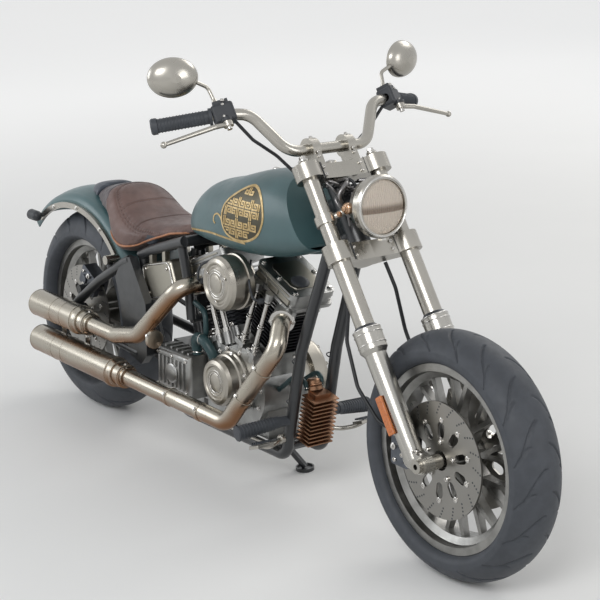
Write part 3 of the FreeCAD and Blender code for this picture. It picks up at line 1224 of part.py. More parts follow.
PIECES = {
    "frame": frame, "swingarm": swingarm, "rear_fender": rear_fender, "fender_rails": fender_rails,
    "rear_lamps": rear_lamps, "seat": seat, "seat_pad_rear": seat_pad_rear, "fuel_tank": fuel_tank,
    "fuel_cap": fuel_cap, "oil_tank": oil_tank, "crankcase": crankcase, "cylinders": cylinders,
    "cylinder_heads": cylinder_heads, "pushrod_tubes": pushrod_tubes, "air_cleaner": air_cleaner,
    "cam_cover": cam_cover, "transmission": transmission, "primary_cover": primary_cover,
    "drive_belt": drive_belt, "oil_cooler": oil_cooler, "exhaust_pipes": exhaust_pipes,
    "mufflers": mufflers, "foot_controls": foot_controls, "rear_axle": rear_axle,
    "rear_caliper": rear_caliper, "side_stand": side_stand, "upper_clamp": upper_clamp,
    "lower_clamp": lower_clamp, "bar_risers": bar_risers, "fork_tubes": fork_tubes,
    "fork_lowers": fork_lowers, "headlamp": headlamp, "headlamp_lens": headlamp_lens,
    "handlebar": handlebar, "grips": grips, "switch_housings": switch_housings, "levers": levers,
    "mirrors": mirrors, "mirror_glasses": mirror_glasses, "front_calipers": front_calipers,
    "front_axle": front_axle, "front_cables": front_cables, "reflectors": reflectors, "front_tyre": front_tyre,
    "front_wheel": front_wheel, "front_discs": front_discs, "rear_tyre": rear_tyre,
    "rear_wheel": rear_wheel, "rear_disc_and_pulley": rear_disc_and_pulley,
}


def on_its_stand(pieces):
    """The placement that leans the machine and puts its box's bottom centre at the origin."""
    tilt = FreeCAD.Placement(ORIGIN, FreeCAD.Rotation(AXIS_X, -LEAN))
    reach = FreeCAD.BoundBox()
    for shape in pieces.values():
        copy = shape.copy()
        copy.Placement = tilt.multiply(copy.Placement)
        reach.add(copy.optimalBoundingBox(False, False))
    return FreeCAD.Placement(V(-reach.Center.x, -reach.Center.y, -reach.ZMin), tilt.Rotation)


def export(pieces, stance):
    os.makedirs("parts", exist_ok=True)
    for name, shape in pieces.items():
        copy = shape.copy()
        copy.Placement = stance.multiply(copy.Placement)
        copy.exportStep("parts/" + name + ".step")


MACHINE = {name: make() for name, make in PIECES.items()}
STANCE = on_its_stand(MACHINE)
export(MACHINE, STANCE)
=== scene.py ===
import math
import random

import bmesh
import bpy
from mathutils import Matrix, Vector, kdtree
from mathutils.bvhtree import BVHTree


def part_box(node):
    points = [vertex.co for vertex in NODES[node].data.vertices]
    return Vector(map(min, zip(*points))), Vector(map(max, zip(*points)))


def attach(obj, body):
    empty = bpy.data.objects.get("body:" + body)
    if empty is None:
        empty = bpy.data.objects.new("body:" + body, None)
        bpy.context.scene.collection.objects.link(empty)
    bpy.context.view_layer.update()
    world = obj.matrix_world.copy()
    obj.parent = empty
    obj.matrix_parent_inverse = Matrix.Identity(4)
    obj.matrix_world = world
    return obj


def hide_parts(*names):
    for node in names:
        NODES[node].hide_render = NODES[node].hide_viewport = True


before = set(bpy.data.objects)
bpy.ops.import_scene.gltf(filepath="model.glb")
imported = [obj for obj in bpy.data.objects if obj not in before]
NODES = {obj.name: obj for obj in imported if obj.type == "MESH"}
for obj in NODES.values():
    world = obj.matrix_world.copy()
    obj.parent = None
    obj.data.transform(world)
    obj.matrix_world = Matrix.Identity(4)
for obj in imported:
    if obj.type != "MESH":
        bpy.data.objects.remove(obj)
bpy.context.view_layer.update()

# The machine's own frame, in millimetres: +X forward, +Y to the rider's left, +Z up,
# upright, with its origin on the ground under the rear axle.
LEAN = math.radians(5.0)
RAKE = math.radians(34.5)
REAR_TYRE_R = 325.4
FRONT_TYRE_R = 313.5
WHEELBASE = 1710.0
MM = 0.001
RIGHT, LEFT = -1, 1

# The photograph's camera, in the machine's frame
CAMERA_AT = (4584.4, -2617.2, 1702.7)
CAMERA_YAW = math.radians(53.45584)
CAMERA_PITCH = math.radians(14.47491)
CAMERA_ROLL = math.radians(0.168)
CAMERA_LENS = 100.566
SENSOR = 36.0

NOISE_ROUGH = 0.55
SMOOTH_ANGLE, BEVEL_ANGLE = math.radians(38), math.radians(35)


def box_centre(node):
    low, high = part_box(node)
    return (Vector(low) + Vector(high)) / 2


TILT = Matrix.Rotation(-LEAN, 4, "X")
STANCE = Matrix.Translation(box_centre("rear_axle") - TILT @ Vector((0, 0, REAR_TYRE_R * MM))) @ TILT
REAR_AXLE = Vector((0, 0, REAR_TYRE_R))
FRONT_AXLE = Vector((WHEELBASE, 0, FRONT_TYRE_R))
FORK_UP = Vector((-math.sin(RAKE), 0, math.cos(RAKE)))
FORK_AHEAD = Vector((math.cos(RAKE), 0, math.sin(RAKE)))
STEERING = FRONT_AXLE - FORK_AHEAD * 70 + FORK_UP * 776


def fork(x, y, z):
    """A point of the fork's frame, in the machine's frame."""
    return STEERING + FORK_AHEAD * x + Vector((0, y, 0)) + FORK_UP * z


# The middle of the headlamp's mouth
LAMP_FRONT = fork(139, 0, -134)
# Heights in metres between which a band of painted shade darkens the lamp's glass
PAINTED_SHADE_BAND = tuple((LAMP_FRONT.z + rise) * MM for rise in (-16.0, 10.0))


def added(name, data):
    """A new object of the scene."""
    obj = bpy.data.objects.new(name, data)
    bpy.context.scene.collection.objects.link(obj)
    return obj


class Look:
    """One procedural material round a Principled shader."""

    def __init__(self, name, color, rough, metal=0.0, **sockets):
        self.material = bpy.data.materials.new(name)
        self.material.use_nodes = True
        self.tree = self.material.node_tree
        self.shader = self.tree.nodes["Principled BSDF"]
        self.shader.inputs["Base Color"].default_value = (*color, 1)
        self.shader.inputs["Roughness"].default_value = rough
        self.shader.inputs["Metallic"].default_value = metal
        for key, value in sockets.items():
            self.shader.inputs[key.replace("_", " ")].default_value = value
        self.place = self.node("ShaderNodeTexCoord").outputs["Object"]

    def node(self, kind, **settings):
        node = self.tree.nodes.new(kind)
        for key, value in settings.items():
            setattr(node, key, value)
        return node

    def link(self, source, socket):
        if isinstance(source, bpy.types.NodeSocket):
            self.tree.links.new(source, socket)
        else:
            socket.default_value = source

    def upright(self):
        """Coordinates in the machine's own frame, in metres."""
        back = STANCE.inverted()
        node = self.node("ShaderNodeMapping")
        node.inputs["Rotation"].default_value = back.to_euler()
        node.inputs["Location"].default_value = back.to_translation()
        self.link(self.place, node.inputs["Vector"])
        return node.outputs["Vector"]

    def noise(self, scale, detail=3.0):
        node = self.node("ShaderNodeTexNoise")
        node.inputs["Scale"].default_value = scale
        node.inputs["Detail"].default_value = detail
        node.inputs["Roughness"].default_value = NOISE_ROUGH
        self.link(self.place, node.inputs["Vector"])
        return node.outputs["Fac"]

    def vary(self, scale, detail, low=0.0, high=1.0):
        """Slow patches that run from one value to the other."""
        return self.ramp(self.noise(scale, detail), 0.3, 0.7, low, high)

    def cells(self, scale):
        """The distance to the edges between random cells."""
        node = self.node("ShaderNodeTexVoronoi", feature="DISTANCE_TO_EDGE")
        node.inputs["Scale"].default_value = scale
        self.link(self.place, node.inputs["Vector"])
        return node.outputs["Distance"]

    def ramp(self, source, low, high, value_low=0.0, value_high=1.0):
        node = self.node("ShaderNodeMapRange", interpolation_type="SMOOTHSTEP")
        self.link(source, node.inputs["Value"])
        limits = {"From Min": low, "From Max": high, "To Min": value_low, "To Max": value_high}
        for key, value in limits.items():
            node.inputs[key].default_value = value
        return node.outputs["Result"]

    def mix(self, factor, first, second):
        node = self.node("ShaderNodeMix", data_type="RGBA")
        self.link(factor, node.inputs[0])
        for value, socket in ((first, node.inputs[6]), (second, node.inputs[7])):
            self.link(value if isinstance(value, bpy.types.NodeSocket) else (*value, 1), socket)
        return node.outputs[2]

    def calc(self, operation, first, second=0.0, third=0.0):
        node = self.node("ShaderNodeMath", operation=operation)
        for value, socket in zip((first, second, third), node.inputs):
            self.link(value, socket)
        return node.outputs["Value"]

    def split(self, vector):
        node = self.node("ShaderNodeSeparateXYZ")
        self.link(vector, node.inputs["Vector"])
        return node.outputs

    def color(self, source):
        self.link(source, self.shader.inputs["Base Color"])

    def rough(self, source):
        self.link(source, self.shader.inputs["Roughness"])

    def bump(self, height, distance, strength=1.0):
        node = self.node("ShaderNodeBump")
        node.inputs["Distance"].default_value = distance
        node.inputs["Strength"].default_value = strength
        self.link(height, node.inputs["Height"])
        previous = self.shader.inputs["Normal"].links
        if previous:
            self.link(previous[0].from_socket, node.inputs["Normal"])
        self.link(node.outputs["Normal"], self.shader.inputs["Normal"])


def mottled(look, dark, light, scale, rough_low, rough_high, detail=4.0):
    """Slow variation of colour and roughness, as on any used surface."""
    look.color(look.mix(look.vary(scale, detail), dark, light))
    look.rough(look.vary(scale * 2.3, detail, rough_low, rough_high))


def shade(color, share):
    return tuple(c * share for c in color)


def satin_metal(name, color, rough, grain=900, wear=0.12):
    look = Look(name, color, rough, 1.0)
    mottled(look, shade(color, 1 - wear), color, 5.0, rough * 0.85, rough * 1.15, 2.0)
    look.bump(look.noise(grain, 2.0), 0.00001)
    return look.material


def polished_metal(name, color, rough):
    look = Look(name, color, rough, 1.0)
    mottled(look, shade(color, 0.90), color, 5.0, rough * 0.8, rough * 1.3, 2.0)
    look.bump(look.noise(90, 2.0), 0.00001)
    return look.material


def cast_metal(name, color, rough, grain=260, metal=1.0):
    look = Look(name, color, rough, metal)
    mottled(look, shade(color, 0.72), color, 22.0, rough * 0.85, rough * 1.15)
    look.bump(look.noise(grain, 5.0), 0.00025)
    return look.material


def exhaust_metal(name):
    """Satin steel, with painted shade: darker bronze and brown towards the underside."""
    look = Look(name, (0.42, 0.39, 0.34), 0.3, 1.0)
    # Painted shade: the more a face turns down, the darker and more bronze its colour
    normal = look.split(look.node("ShaderNodeNewGeometry").outputs["Normal"])
    below = look.calc("ADD", look.calc("MULTIPLY", normal[2], -0.55), look.noise(4.0, 2.0))
    tint = look.ramp(below, 0.28, 0.85)
    bronze = look.mix(look.noise(6.0, 2.0), (0.20, 0.092, 0.043), (0.31, 0.175, 0.095))
    look.color(look.mix(tint, (0.40, 0.37, 0.315), bronze))
    look.rough(look.vary(9.0, 2.0, 0.24, 0.32))
    look.bump(look.noise(500, 2.0), 0.000006)
    return look.material


def teal_paint(name):
    look = Look(name, (0.045, 0.098, 0.104), 0.38, 0.0, Coat_Weight=0.25, Coat_Roughness=0.28)
    look.color(look.mix(look.vary(5.0, 3.0), (0.038, 0.082, 0.088), (0.054, 0.114, 0.122)))
    look.rough(look.vary(30.0, 4.0, 0.36, 0.46))
    look.bump(look.noise(420, 2.0), 0.00002)
    return look.material


def gold_paint(name):
    look = Look(name, (0.50, 0.36, 0.16), 0.38, 0.35)
    mottled(look, (0.36, 0.25, 0.10), (0.58, 0.43, 0.21), 60.0, 0.32, 0.48)
    look.bump(look.noise(700, 2.0), 0.00004)
    return look.material


def black_paint(name):
    look = Look(name, (0.012, 0.013, 0.015), 0.32, 0.0, Coat_Weight=0.25, Coat_Roughness=0.2)
    look.color(look.mix(look.noise(16.0, 4.0), (0.010, 0.011, 0.012), (0.024, 0.026, 0.029)))
    look.rough(look.vary(40.0, 4.0, 0.28, 0.42))
    look.bump(look.noise(300, 3.0), 0.00004)
    return look.material


def rubber(name, color, rough, grain=500, depth=0.00008):
    look = Look(name, color, rough, 0.0, Specular_IOR_Level=0.35)
    mottled(look, shade(color, 0.9), shade(color, 1.08), 30.0, rough * 0.94, rough * 1.08)
    look.bump(look.noise(grain, 4.0), depth)
    return look.material


def leather(name, dark, light, rough):
    """Fine-grained hide: pebbled cells, creases and a soft sheen."""
    look = Look(name, light, rough, 0.0, Specular_IOR_Level=0.4, Sheen_Weight=0.08, Sheen_Roughness=0.5)
    look.color(look.mix(look.vary(12.0, 5.0), dark, light))
    look.rough(look.vary(45.0, 4.0, rough * 0.85, rough * 1.2))
    look.bump(look.cells(420), 0.0003, 0.6)
    look.bump(look.noise(90, 4.0), 0.0002, 0.6)
    return look.material


def glass(name):
    look = Look(name, (0.85, 0.88, 0.88), 0.08, 0.0, Transmission_Weight=0.92, IOR=1.45)
    look.rough(look.vary(20.0, 3.0, 0.05, 0.12))
    return look.material


def lens_glass(name):
    """Warm, slightly hazy moulded glass, with a band of painted shade across its middle."""
    look = Look(name, (0.86, 0.79, 0.70), 0.20, 0.0, Transmission_Weight=0.55, IOR=1.45)
    height = look.split(look.upright())[2]
    above = look.ramp(height, PAINTED_SHADE_BAND[0], PAINTED_SHADE_BAND[0] + 0.003)
    below = look.ramp(height, PAINTED_SHADE_BAND[1] - 0.016, PAINTED_SHADE_BAND[1], 1.0, 0.0)
    # Painted shade: the glass's colour is darker in a band across its middle
    band = look.calc("MULTIPLY", above, below)
    look.color(look.mix(band, (0.84, 0.75, 0.65), (0.36, 0.28, 0.22)))
    look.rough(look.vary(30.0, 3.0, 0.16, 0.26))
    look.bump(look.noise(160.0, 2.0), 0.0001)
    return look.material


def amber(name):
    look = Look(name, (0.60, 0.16, 0.015), 0.25, 0.0, Coat_Weight=0.6, Coat_Roughness=0.1)
    prisms = look.cells(260)
    look.color(look.mix(look.ramp(prisms, 0.0, 0.12), (0.22, 0.04, 0.004), (0.56, 0.15, 0.012)))
    look.bump(prisms, 0.0008, 0.7)
    return look.material


LOOKS = {
    "frame_paint": black_paint("black_frame_paint"),
    "tank_paint": teal_paint("teal_paint"),
    "gold": gold_paint("gold_leaf_paint"),
    "satin": satin_metal("satin_nickel", (0.43, 0.41, 0.37), 0.28),
    "fork": satin_metal("satin_slider", (0.47, 0.455, 0.42), 0.27),
    # Satin steel with painted shade towards its underside
    "exhaust": exhaust_metal("steel_with_painted_underside_shade"),
    "chrome": polished_metal("polished_cover", (0.58, 0.565, 0.54), 0.17),
    "cover": satin_metal("satin_cover", (0.40, 0.375, 0.33), 0.31),
    "case": cast_metal("cast_case", (0.40, 0.40, 0.39), 0.36),
    "khaki": satin_metal("satin_box", (0.36, 0.34, 0.29), 0.36),
    "fins": cast_metal("black_fins", (0.045, 0.047, 0.052), 0.42),
    "copper": cast_metal("copper_fins", (0.36, 0.20, 0.12), 0.38),
    "wheel": cast_metal("grey_wheel", (0.33, 0.325, 0.31), 0.36, 420),
    "disc": satin_metal("turned_disc", (0.30, 0.29, 0.27), 0.34),
    "caliper": cast_metal("dark_caliper", (0.13, 0.14, 0.16), 0.38),
    "tyre": rubber("tyre_rubber", (0.050, 0.055, 0.064), 0.56),
    "grip": rubber("grip_rubber", (0.045, 0.050, 0.058), 0.52),
    "black_plastic": rubber("black_plastic", (0.035, 0.038, 0.043), 0.42, 700, 0.00004),
    "hose": rubber("hose_rubber", (0.014, 0.015, 0.017), 0.40),
    "belt": rubber("belt_rubber", (0.02, 0.02, 0.022), 0.65),
    "brown_leather": leather("brown_leather", (0.082, 0.047, 0.041), (0.140, 0.084, 0.072), 0.50),
    "side_leather": leather("side_leather", (0.046, 0.037, 0.040), (0.088, 0.070, 0.074), 0.46),
    "dark_leather": leather("dark_leather", (0.055, 0.050, 0.056), (0.100, 0.092, 0.100), 0.46),
    "blue_leather": leather("blue_leather", (0.035, 0.042, 0.055), (0.070, 0.082, 0.102), 0.48),
    "glass": glass("lamp_glass"),
    "mirror": polished_metal("mirror_face", (0.80, 0.81, 0.82), 0.03),
    "amber": amber("amber_reflector"),
    "panel": satin_metal("panel_ground", (0.105, 0.098, 0.074), 0.42, wear=0.35),
    "lens": lens_glass("ribbed_glass"),
    "bracket": satin_metal("copper_bracket", (0.50, 0.33, 0.22), 0.24),
    "loom": satin_metal("wrapped_loom", (0.30, 0.29, 0.29), 0.34, 300, 0.5),
    "teal_rubber": rubber("teal_rubber", (0.022, 0.050, 0.054), 0.36),
    "button": rubber("button_plastic", (0.10, 0.11, 0.12), 0.4),
    "piping": leather("piping", (0.26, 0.10, 0.045), (0.40, 0.18, 0.09), 0.42),
    "thread": leather("thread", (0.075, 0.055, 0.050), (0.13, 0.10, 0.09), 0.6),
}

NODE_LOOKS = {
    "frame_paint": ("frame", "swingarm", "side_stand"),
    "tank_paint": ("rear_fender", "fuel_tank"),
    "satin": ("fender_rails", "rear_axle", "upper_clamp", "lower_clamp", "bar_risers", "fork_tubes",
              "headlamp", "handlebar", "levers", "mirrors", "front_axle"),
    "black_plastic": ("rear_lamps", "switch_housings"),
    "chrome": ("fuel_cap", "pushrod_tubes"),
    "khaki": ("oil_tank",),
    "case": ("crankcase", "cylinder_heads", "transmission"),
    "fins": ("cylinders",),
    "cover": ("air_cleaner", "cam_cover", "primary_cover"),
    "belt": ("drive_belt",),
    "copper": ("oil_cooler",),
    "exhaust": ("exhaust_pipes", "mufflers"),
    "grip": ("foot_controls", "grips"),
    "caliper": ("rear_caliper", "front_calipers"),
    "fork": ("fork_lowers",),
    "glass": ("headlamp_lens",),
    "mirror": ("mirror_glasses",),
    "hose": ("front_cables",),
    "amber": ("reflectors",),
    "wheel": ("front_wheel", "rear_wheel"),
    "disc": ("front_discs", "rear_disc_and_pulley"),
    "tyre": ("front_tyre", "rear_tyre"),
    "brown_leather": ("seat",),
    "blue_leather": ("seat_pad_rear",),
}


def dress(obj, look):
    """Gives a piece one look in place of what it had."""
    obj.data.materials.clear()
    obj.data.materials.append(LOOKS[look])


for look_name, node_names in NODE_LOOKS.items():
    for node_name in node_names:
        dress(NODES[node_name], look_name)


def new_object(name, mesh, look, body, stands_for=()):
    """A piece drawn in the machine's frame in millimetres, put in the row frame and on its body."""
    mesh.transform(STANCE @ Matrix.Scale(MM, 4))
    obj = added(name, mesh)
    mesh.shade_smooth()
    mesh.materials.append(LOOKS[look])
    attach(obj, body)
    if stands_for:
        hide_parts(*stands_for)
    return obj


# The least radius of a lathe piece, and how deep a bolt's foot goes into what it stands on
THIN = 0.01
SUNK = -1.0


def spokes_round(axis, sides):
    """Unit vectors evenly round an axis."""
    across = axis.orthogonal().normalized()
    other = axis.cross(across)
    turns = [2 * math.pi * i / sides for i in range(sides)]
    return [across * math.cos(a) + other * math.sin(a) for a in turns]


class Parts:
    """Collects small turned and straight forms, in the machine's frame in millimetres, as one mesh."""

    def __init__(self):
        self.work = bmesh.new()

    def rings(self, rings, closed=False):
        """Joins rings of equally many points with faces; an open row gets a cap at each end."""
        rows = [[self.work.verts.new(point) for point in ring] for ring in rings]
        count = len(rows[0])
        pairs = list(zip(rows, rows[1:])) + ([(rows[-1], rows[0])] if closed else [])
        for one, two in pairs:
            for i in range(count):
                j = (i + 1) % count
                self.work.faces.new((one[i], one[j], two[j], two[i]))
        if not closed:
            self.work.faces.new(rows[0][::-1])
            self.work.faces.new(rows[-1])

    def turned(self, at, axis, profile, sides=32):
        """A lathe piece: profile is a list of (distance along the axis, radius)."""
        axis, at = Vector(axis).normalized(), Vector(at)
        spokes = spokes_round(axis, sides)
        self.rings([[at + axis * along + spoke * max(radius, THIN) for spoke in spokes]
                    for along, radius in profile])

    def hex_bolt(self, at, axis, size):
        """A washer and a chamfered six-sided head, standing on the surface at that point."""
        washer = [(SUNK, size * 1.35), (size * 0.22, size * 1.35), (size * 0.30, size * 1.22)]
        head = [(size * 0.2, size * 1.05), (size * 0.82, size * 1.05), (size * 0.98, size * 0.82)]
        self.turned(at, axis, washer, 24)
        self.turned(at, axis, head, 6)

    def socket_bolt(self, at, axis, size):
        """A round head with a sunk socket."""
        head = [(SUNK, size), (size * 0.75, size), (size * 0.95, size * 0.84)]
        socket = [(size * 0.95, size * 0.52), (size * 0.35, size * 0.50), (size * 0.35, 0.0)]
        self.turned(at, axis, head + socket, 24)

    def torus(self, at, axis, radius, thick, sides=48, around=10):
        """A round ring about an axis."""
        axis, at = Vector(axis).normalized(), Vector(at)
        turns = [2 * math.pi * k / around for k in range(around)]
        self.rings([[at + spoke * (radius + thick * math.cos(a)) + axis * thick * math.sin(a) for a in turns]
                    for spoke in spokes_round(axis, sides)], closed=True)

    def pipe(self, points, radius, sides=12, steps=8, closed=False):
        """A round bar along a smooth line through the points."""
        path = smooth_path(points, steps, closed)
        turns = [2 * math.pi * k / sides for k in range(sides)]
        normal = None
        rings = []
        for i, point in enumerate(path):
            ahead = path[(i + 1) % len(path)] if closed else path[min(i + 1, len(path) - 1)]
            behind = path[i - 1] if closed else path[max(i - 1, 0)]
            along = (ahead - behind).normalized()
            flat = along.orthogonal() if normal is None else normal - along * normal.dot(along)
            normal = flat.normalized()
            side = along.cross(normal)
            rings.append([point + (normal * math.cos(a) + side * math.sin(a)) * radius for a in turns])
        self.rings(rings, closed=closed)

    def slab(self, outline, thickness, normal):
        """A flat plate: an outline of points, thickened along its normal."""
        step = Vector(normal).normalized() * thickness
        self.rings([[Vector(p) for p in outline], [Vector(p) + step for p in outline]])

    def brick(self, centre, size, axes=((1, 0, 0), (0, 1, 0), (0, 0, 1))):
        """A box with its three sizes along three axes."""
        u, v, w = (Vector(a).normalized() * s / 2 for a, s in zip(axes, size))
        centre = Vector(centre)
        ring = [centre + u * a + v * b for a, b in ((-1, -1), (1, -1), (1, 1), (-1, 1))]
        self.rings([[p - w for p in ring], [p + w for p in ring]])

    def finish(self, name, look, body, stands_for=(), slot=None, edge=None):
        """Makes one piece of all that was collected."""
        bmesh.ops.recalc_face_normals(self.work, faces=self.work.faces)
        mesh = bpy.data.meshes.new(name)
        self.work.to_mesh(mesh)
        self.work.free()
        obj = new_object(name, mesh, look, body, stands_for)
        mesh.set_sharp_from_angle(angle=SMOOTH_ANGLE)
        if edge:
            bevelled(obj, edge)


def smooth_path(points, steps, closed=False):
    """A Catmull-Rom line through the points."""
    points = [Vector(p) for p in points]
    if closed:
        ringed = [points[-1]] + points + points[:2]
    else:
        ringed = [points[0] * 2 - points[1]] + points + [points[-1] * 2 - points[-2]]
    path = []
    for before, start, end, after in zip(ringed, ringed[1:], ringed[2:], ringed[3:]):
        for i in range(steps):
            t = i / steps
            bend = 2 * before - 5 * start + 4 * end - after
            twist = 3 * start - before - 3 * end + after
            path.append(0.5 * (2 * start + (end - before) * t + bend * t ** 2 + twist * t ** 3))
    if not closed:
        path.append(points[-1])
    return path


def mirror_side(point, side):
    """A point given for the left side, on either side."""
    return Vector((point[0], point[1] * side, point[2]))


FRONT_TYRE = {"radius": FRONT_TYRE_R, "width": 147.0, "drop": 43.0, "rim": 237.0}
REAR_TYRE = {"radius": REAR_TYRE_R, "width": 176.0, "drop": 70.0, "rim": 227.0}
BEAD_Y = 47.7
BEAD_DROP = 13.7
TYRE_WALL = 9.0
GROOVE_DEPTH = 5.0
GROOVE_HALF_W = 3.2
# Each groove runs between two shares of the half width, lags its set by a share of the pitch, and sweeps back
GROOVES = ((0.08, 0.90, 0.0, 95.0), (0.50, 1.0, 0.5, 48.0))
FRONT_SETS, REAR_SETS = 17, 16
TREAD_STEPS = 680
TREAD_BELOW = 12.0


def arc_through(start, middle, end, count):
    """Points on the circle through three (y, r) points, the first one left out."""
    (ax, ay), (bx, by), (cx, cy) = start, middle, end
    a2, b2, c2 = (x * x + y * y for x, y in (start, middle, end))
    d = 2 * (ax * (by - cy) + bx * (cy - ay) + cx * (ay - by))
    ux = (a2 * (by - cy) + b2 * (cy - ay) + c2 * (ay - by)) / d
    uy = (a2 * (cx - bx) + b2 * (ax - cx) + c2 * (bx - ax)) / d
    radius = math.hypot(ax - ux, ay - uy)
    first, last = math.atan2(ay - uy, ax - ux), math.atan2(cy - uy, cx - ux)
    if last - first > math.pi:
        last -= 2 * math.pi
    if first - last > math.pi:
        last += 2 * math.pi
    return [(ux + radius * math.cos(first + (last - first) * i / count),
             uy + radius * math.sin(first + (last - first) * i / count)) for i in range(1, count + 1)]


def tyre_profile(radius, width, drop, rim):
    """Half the outside of a tyre, from its bead up to the middle of its crown, as (y, r)."""
    half = width / 2
    shoulder = radius - drop
    side_r = rim + (shoulder - rim) * 0.55
    lip = (BEAD_Y, rim + 1.5)
    bulge = (lip[0] + (half - lip[0]) * 0.72, lip[1] + (side_r - lip[1]) * 0.3)
    points = [(BEAD_Y, rim - BEAD_DROP), lip]
    points += arc_through(lip, bulge, (half, side_r), 10)
    points += [(half, side_r + (shoulder - side_r) * i / 4) for i in range(1, 5)]
    crown = arc_through((half, shoulder), (0, radius), (-half, shoulder), 72)
    return points, crown[:35]


def tyre(name, node, body, centre, sizes, sets):
    """A tyre with sets of swept tread grooves cut into its crown, closed inside."""
    side, crown = tyre_profile(**sizes)
    tread_r, half, shoulder = sizes["radius"], sizes["width"] / 2, sizes["radius"] - sizes["drop"]
    right = side + crown
    outer = right + [(0.0, tread_r)] + [(-y, r) for y, r in reversed(right)]
    wall, bead = (half - TYRE_WALL, shoulder), (BEAD_Y - TYRE_WALL, side[0][1])
    inner = [(-bead[0], bead[1]), (-wall[0], wall[1]), (0.0, tread_r - TYRE_WALL * 1.8), wall, bead]
    profile = outer + inner
    pitch = 2 * math.pi * tread_r / sets
    verts, faces = [], []
    for i in range(TREAD_STEPS):
        angle = 2 * math.pi * i / TREAD_STEPS
        for k, (y, r) in enumerate(profile):
            cut = 0.0
            if k < len(outer) and r > shoulder - TREAD_BELOW:
                cut = groove_cut(abs(y) / half, angle * tread_r, pitch, 0.0 if y > 0 else pitch / 2)
            radius = r - cut * GROOVE_DEPTH
            verts.append((math.cos(angle) * radius, y, math.sin(angle) * radius))
    span = len(profile)
    for i in range(TREAD_STEPS):
        j = (i + 1) % TREAD_STEPS
        for k in range(span):
            n = (k + 1) % span
            faces.append((i * span + k, i * span + n, j * span + n, j * span + k))
    mesh = bpy.data.meshes.new(name)
    mesh.from_pydata([Vector(v) + centre for v in verts], [], faces)
    work = bmesh.new()
    work.from_mesh(mesh)
    bmesh.ops.recalc_face_normals(work, faces=work.faces)
    work.to_mesh(mesh)
    work.free()
    new_object(name, mesh, "tyre", body, (node,))


def groove_cut(share, arc, pitch, phase):
    """One side's grooves: long sickles from near the middle to the shoulder, with a shorter one between."""
    depth = 0.0
    for start, end, lag, swing in GROOVES:
        if not start < share < end:
            continue
        t = (share - start) / (end - start)
        off = (arc - phase - lag * pitch + swing * t ** 1.8) % pitch
        off = min(off, pitch - off)
        slope = 1 + swing * 1.8 * t ** 0.8 / 85.0
        width = GROOVE_HALF_W * slope * math.sin(math.pi * t) ** 0.35
        reach = off / max(width, 0.2)
        if reach < 1:
            depth = max(depth, 1 - reach ** 4)
    return depth


def upright_mesh(node):
    """A copy of a CAD node's mesh, in the machine's frame in millimetres."""
    mesh = NODES[node].data.copy()
    mesh.transform(Matrix.Scale(1 / MM, 4) @ STANCE.inverted())
    return mesh


def surface_of(mesh):
    """A mesh's faces, made ready for the lines that meet them."""
    return BVHTree.FromPolygons([v.co for v in mesh.vertices], [p.vertices[:] for p in mesh.polygons])


def evaluated(obj):
    """The mesh of an object after its modifiers; the object goes."""
    done = bpy.data.meshes.new_from_object(obj.evaluated_get(bpy.context.evaluated_depsgraph_get()))
    bpy.data.objects.remove(obj)
    return done


def modified(mesh, kind, **settings):
    """The mesh after one modifier."""
    obj = added("work", mesh)
    modifier = obj.modifiers.new(kind.lower(), kind)
    for key, value in settings.items():
        setattr(modifier, key, value)
    return evaluated(obj)


CLOTH_FRAMES = 20
CLOTH = {"use_pressure": True, "uniform_pressure_force": 4.0, "tension_stiffness": 20.0, "quality": 2}


def stuffed(node, voxel, shrink, cap):
    """The CAD form of a cushion, remeshed, drawn in a little and blown up by a cloth simulation."""
    mesh = modified(upright_mesh(node), "REMESH", mode="VOXEL", voxel_size=voxel)
    start = [v.co - v.normal * shrink for v in mesh.vertices]
    for vertex, place in zip(mesh.vertices, start):
        vertex.co = place
    mesh.transform(Matrix.Scale(MM, 4))
    obj = added("stuffing", mesh)
    cloth = obj.modifiers.new("cloth", "CLOTH")
    for key, value in CLOTH.items():
        setattr(cloth.settings, key, value)
    cloth.settings.effector_weights.gravity = 0.0
    for frame_number in range(1, CLOTH_FRAMES + 1):
        bpy.context.scene.frame_set(frame_number)
    mesh = evaluated(obj)
    bpy.context.scene.frame_set(1)
    mesh.transform(Matrix.Scale(1 / MM, 4))
    normals = [v.normal.copy() for v in mesh.vertices]
    for vertex, place, normal in zip(mesh.vertices, start, normals):
        move = vertex.co - place
        room = cap if normal.z > -0.25 else shrink * 0.5
        if move.length > room:
            vertex.co = place + move * (room / move.length)
    return modified(mesh, "SUBSURF", levels=2, render_levels=2)


def between(table, value):
    """Straight interpolation in a table of (value, result)."""
    for (a, fa), (b, fb) in zip(table, table[1:]):
        if value <= b:
            return fa + (fb - fa) * max(0.0, (value - a) / (b - a))
    return table[-1][1]


def step(value, low, high):
    """A soft rise from 0 at the low value to 1 at the high one."""
    t = min(1.0, max(0.0, (value - low) / (high - low)))
    return t * t * (3 - 2 * t)


def notch(distance, width):
    """A bell: 1 at no distance, and nearly 0 two widths away."""
    return math.exp(-(distance / width) ** 2)


SEAT_VOXEL, PAD_VOXEL = 9.4, 6.0
INSERT = [(186, 0), (192, 30), (204, 52), (225, 76), (285, 98), (386, 110), (454, 103), (502, 95), (579, 70),
          (622, 48)]
CROSS_SEAMS, SEAM_BOW = (292.0, 392.0), 0.0006
DARK_END, DARK_BOW = 176.0, 0.0017
SEAT_LOOKS = ("brown_leather", "side_leather", "blue_leather", "black_plastic")
ON_PANEL, ON_SIDE, ON_PILLION, ON_PATCH = range(4)
# The dark patch low on each side of the saddle
PATCH_X, PATCH_HALF_Y, PATCH_TOP, PATCH_LEAN = (424, 472), 110, 655, 0.4


def insert_border():
    """The seam round the seat's inner panel, seen from above."""
    right = smooth_path([(x, -y, 0) for x, y in INSERT], 6)
    return right + [mirror_side(p, -1) for p in reversed(right)]


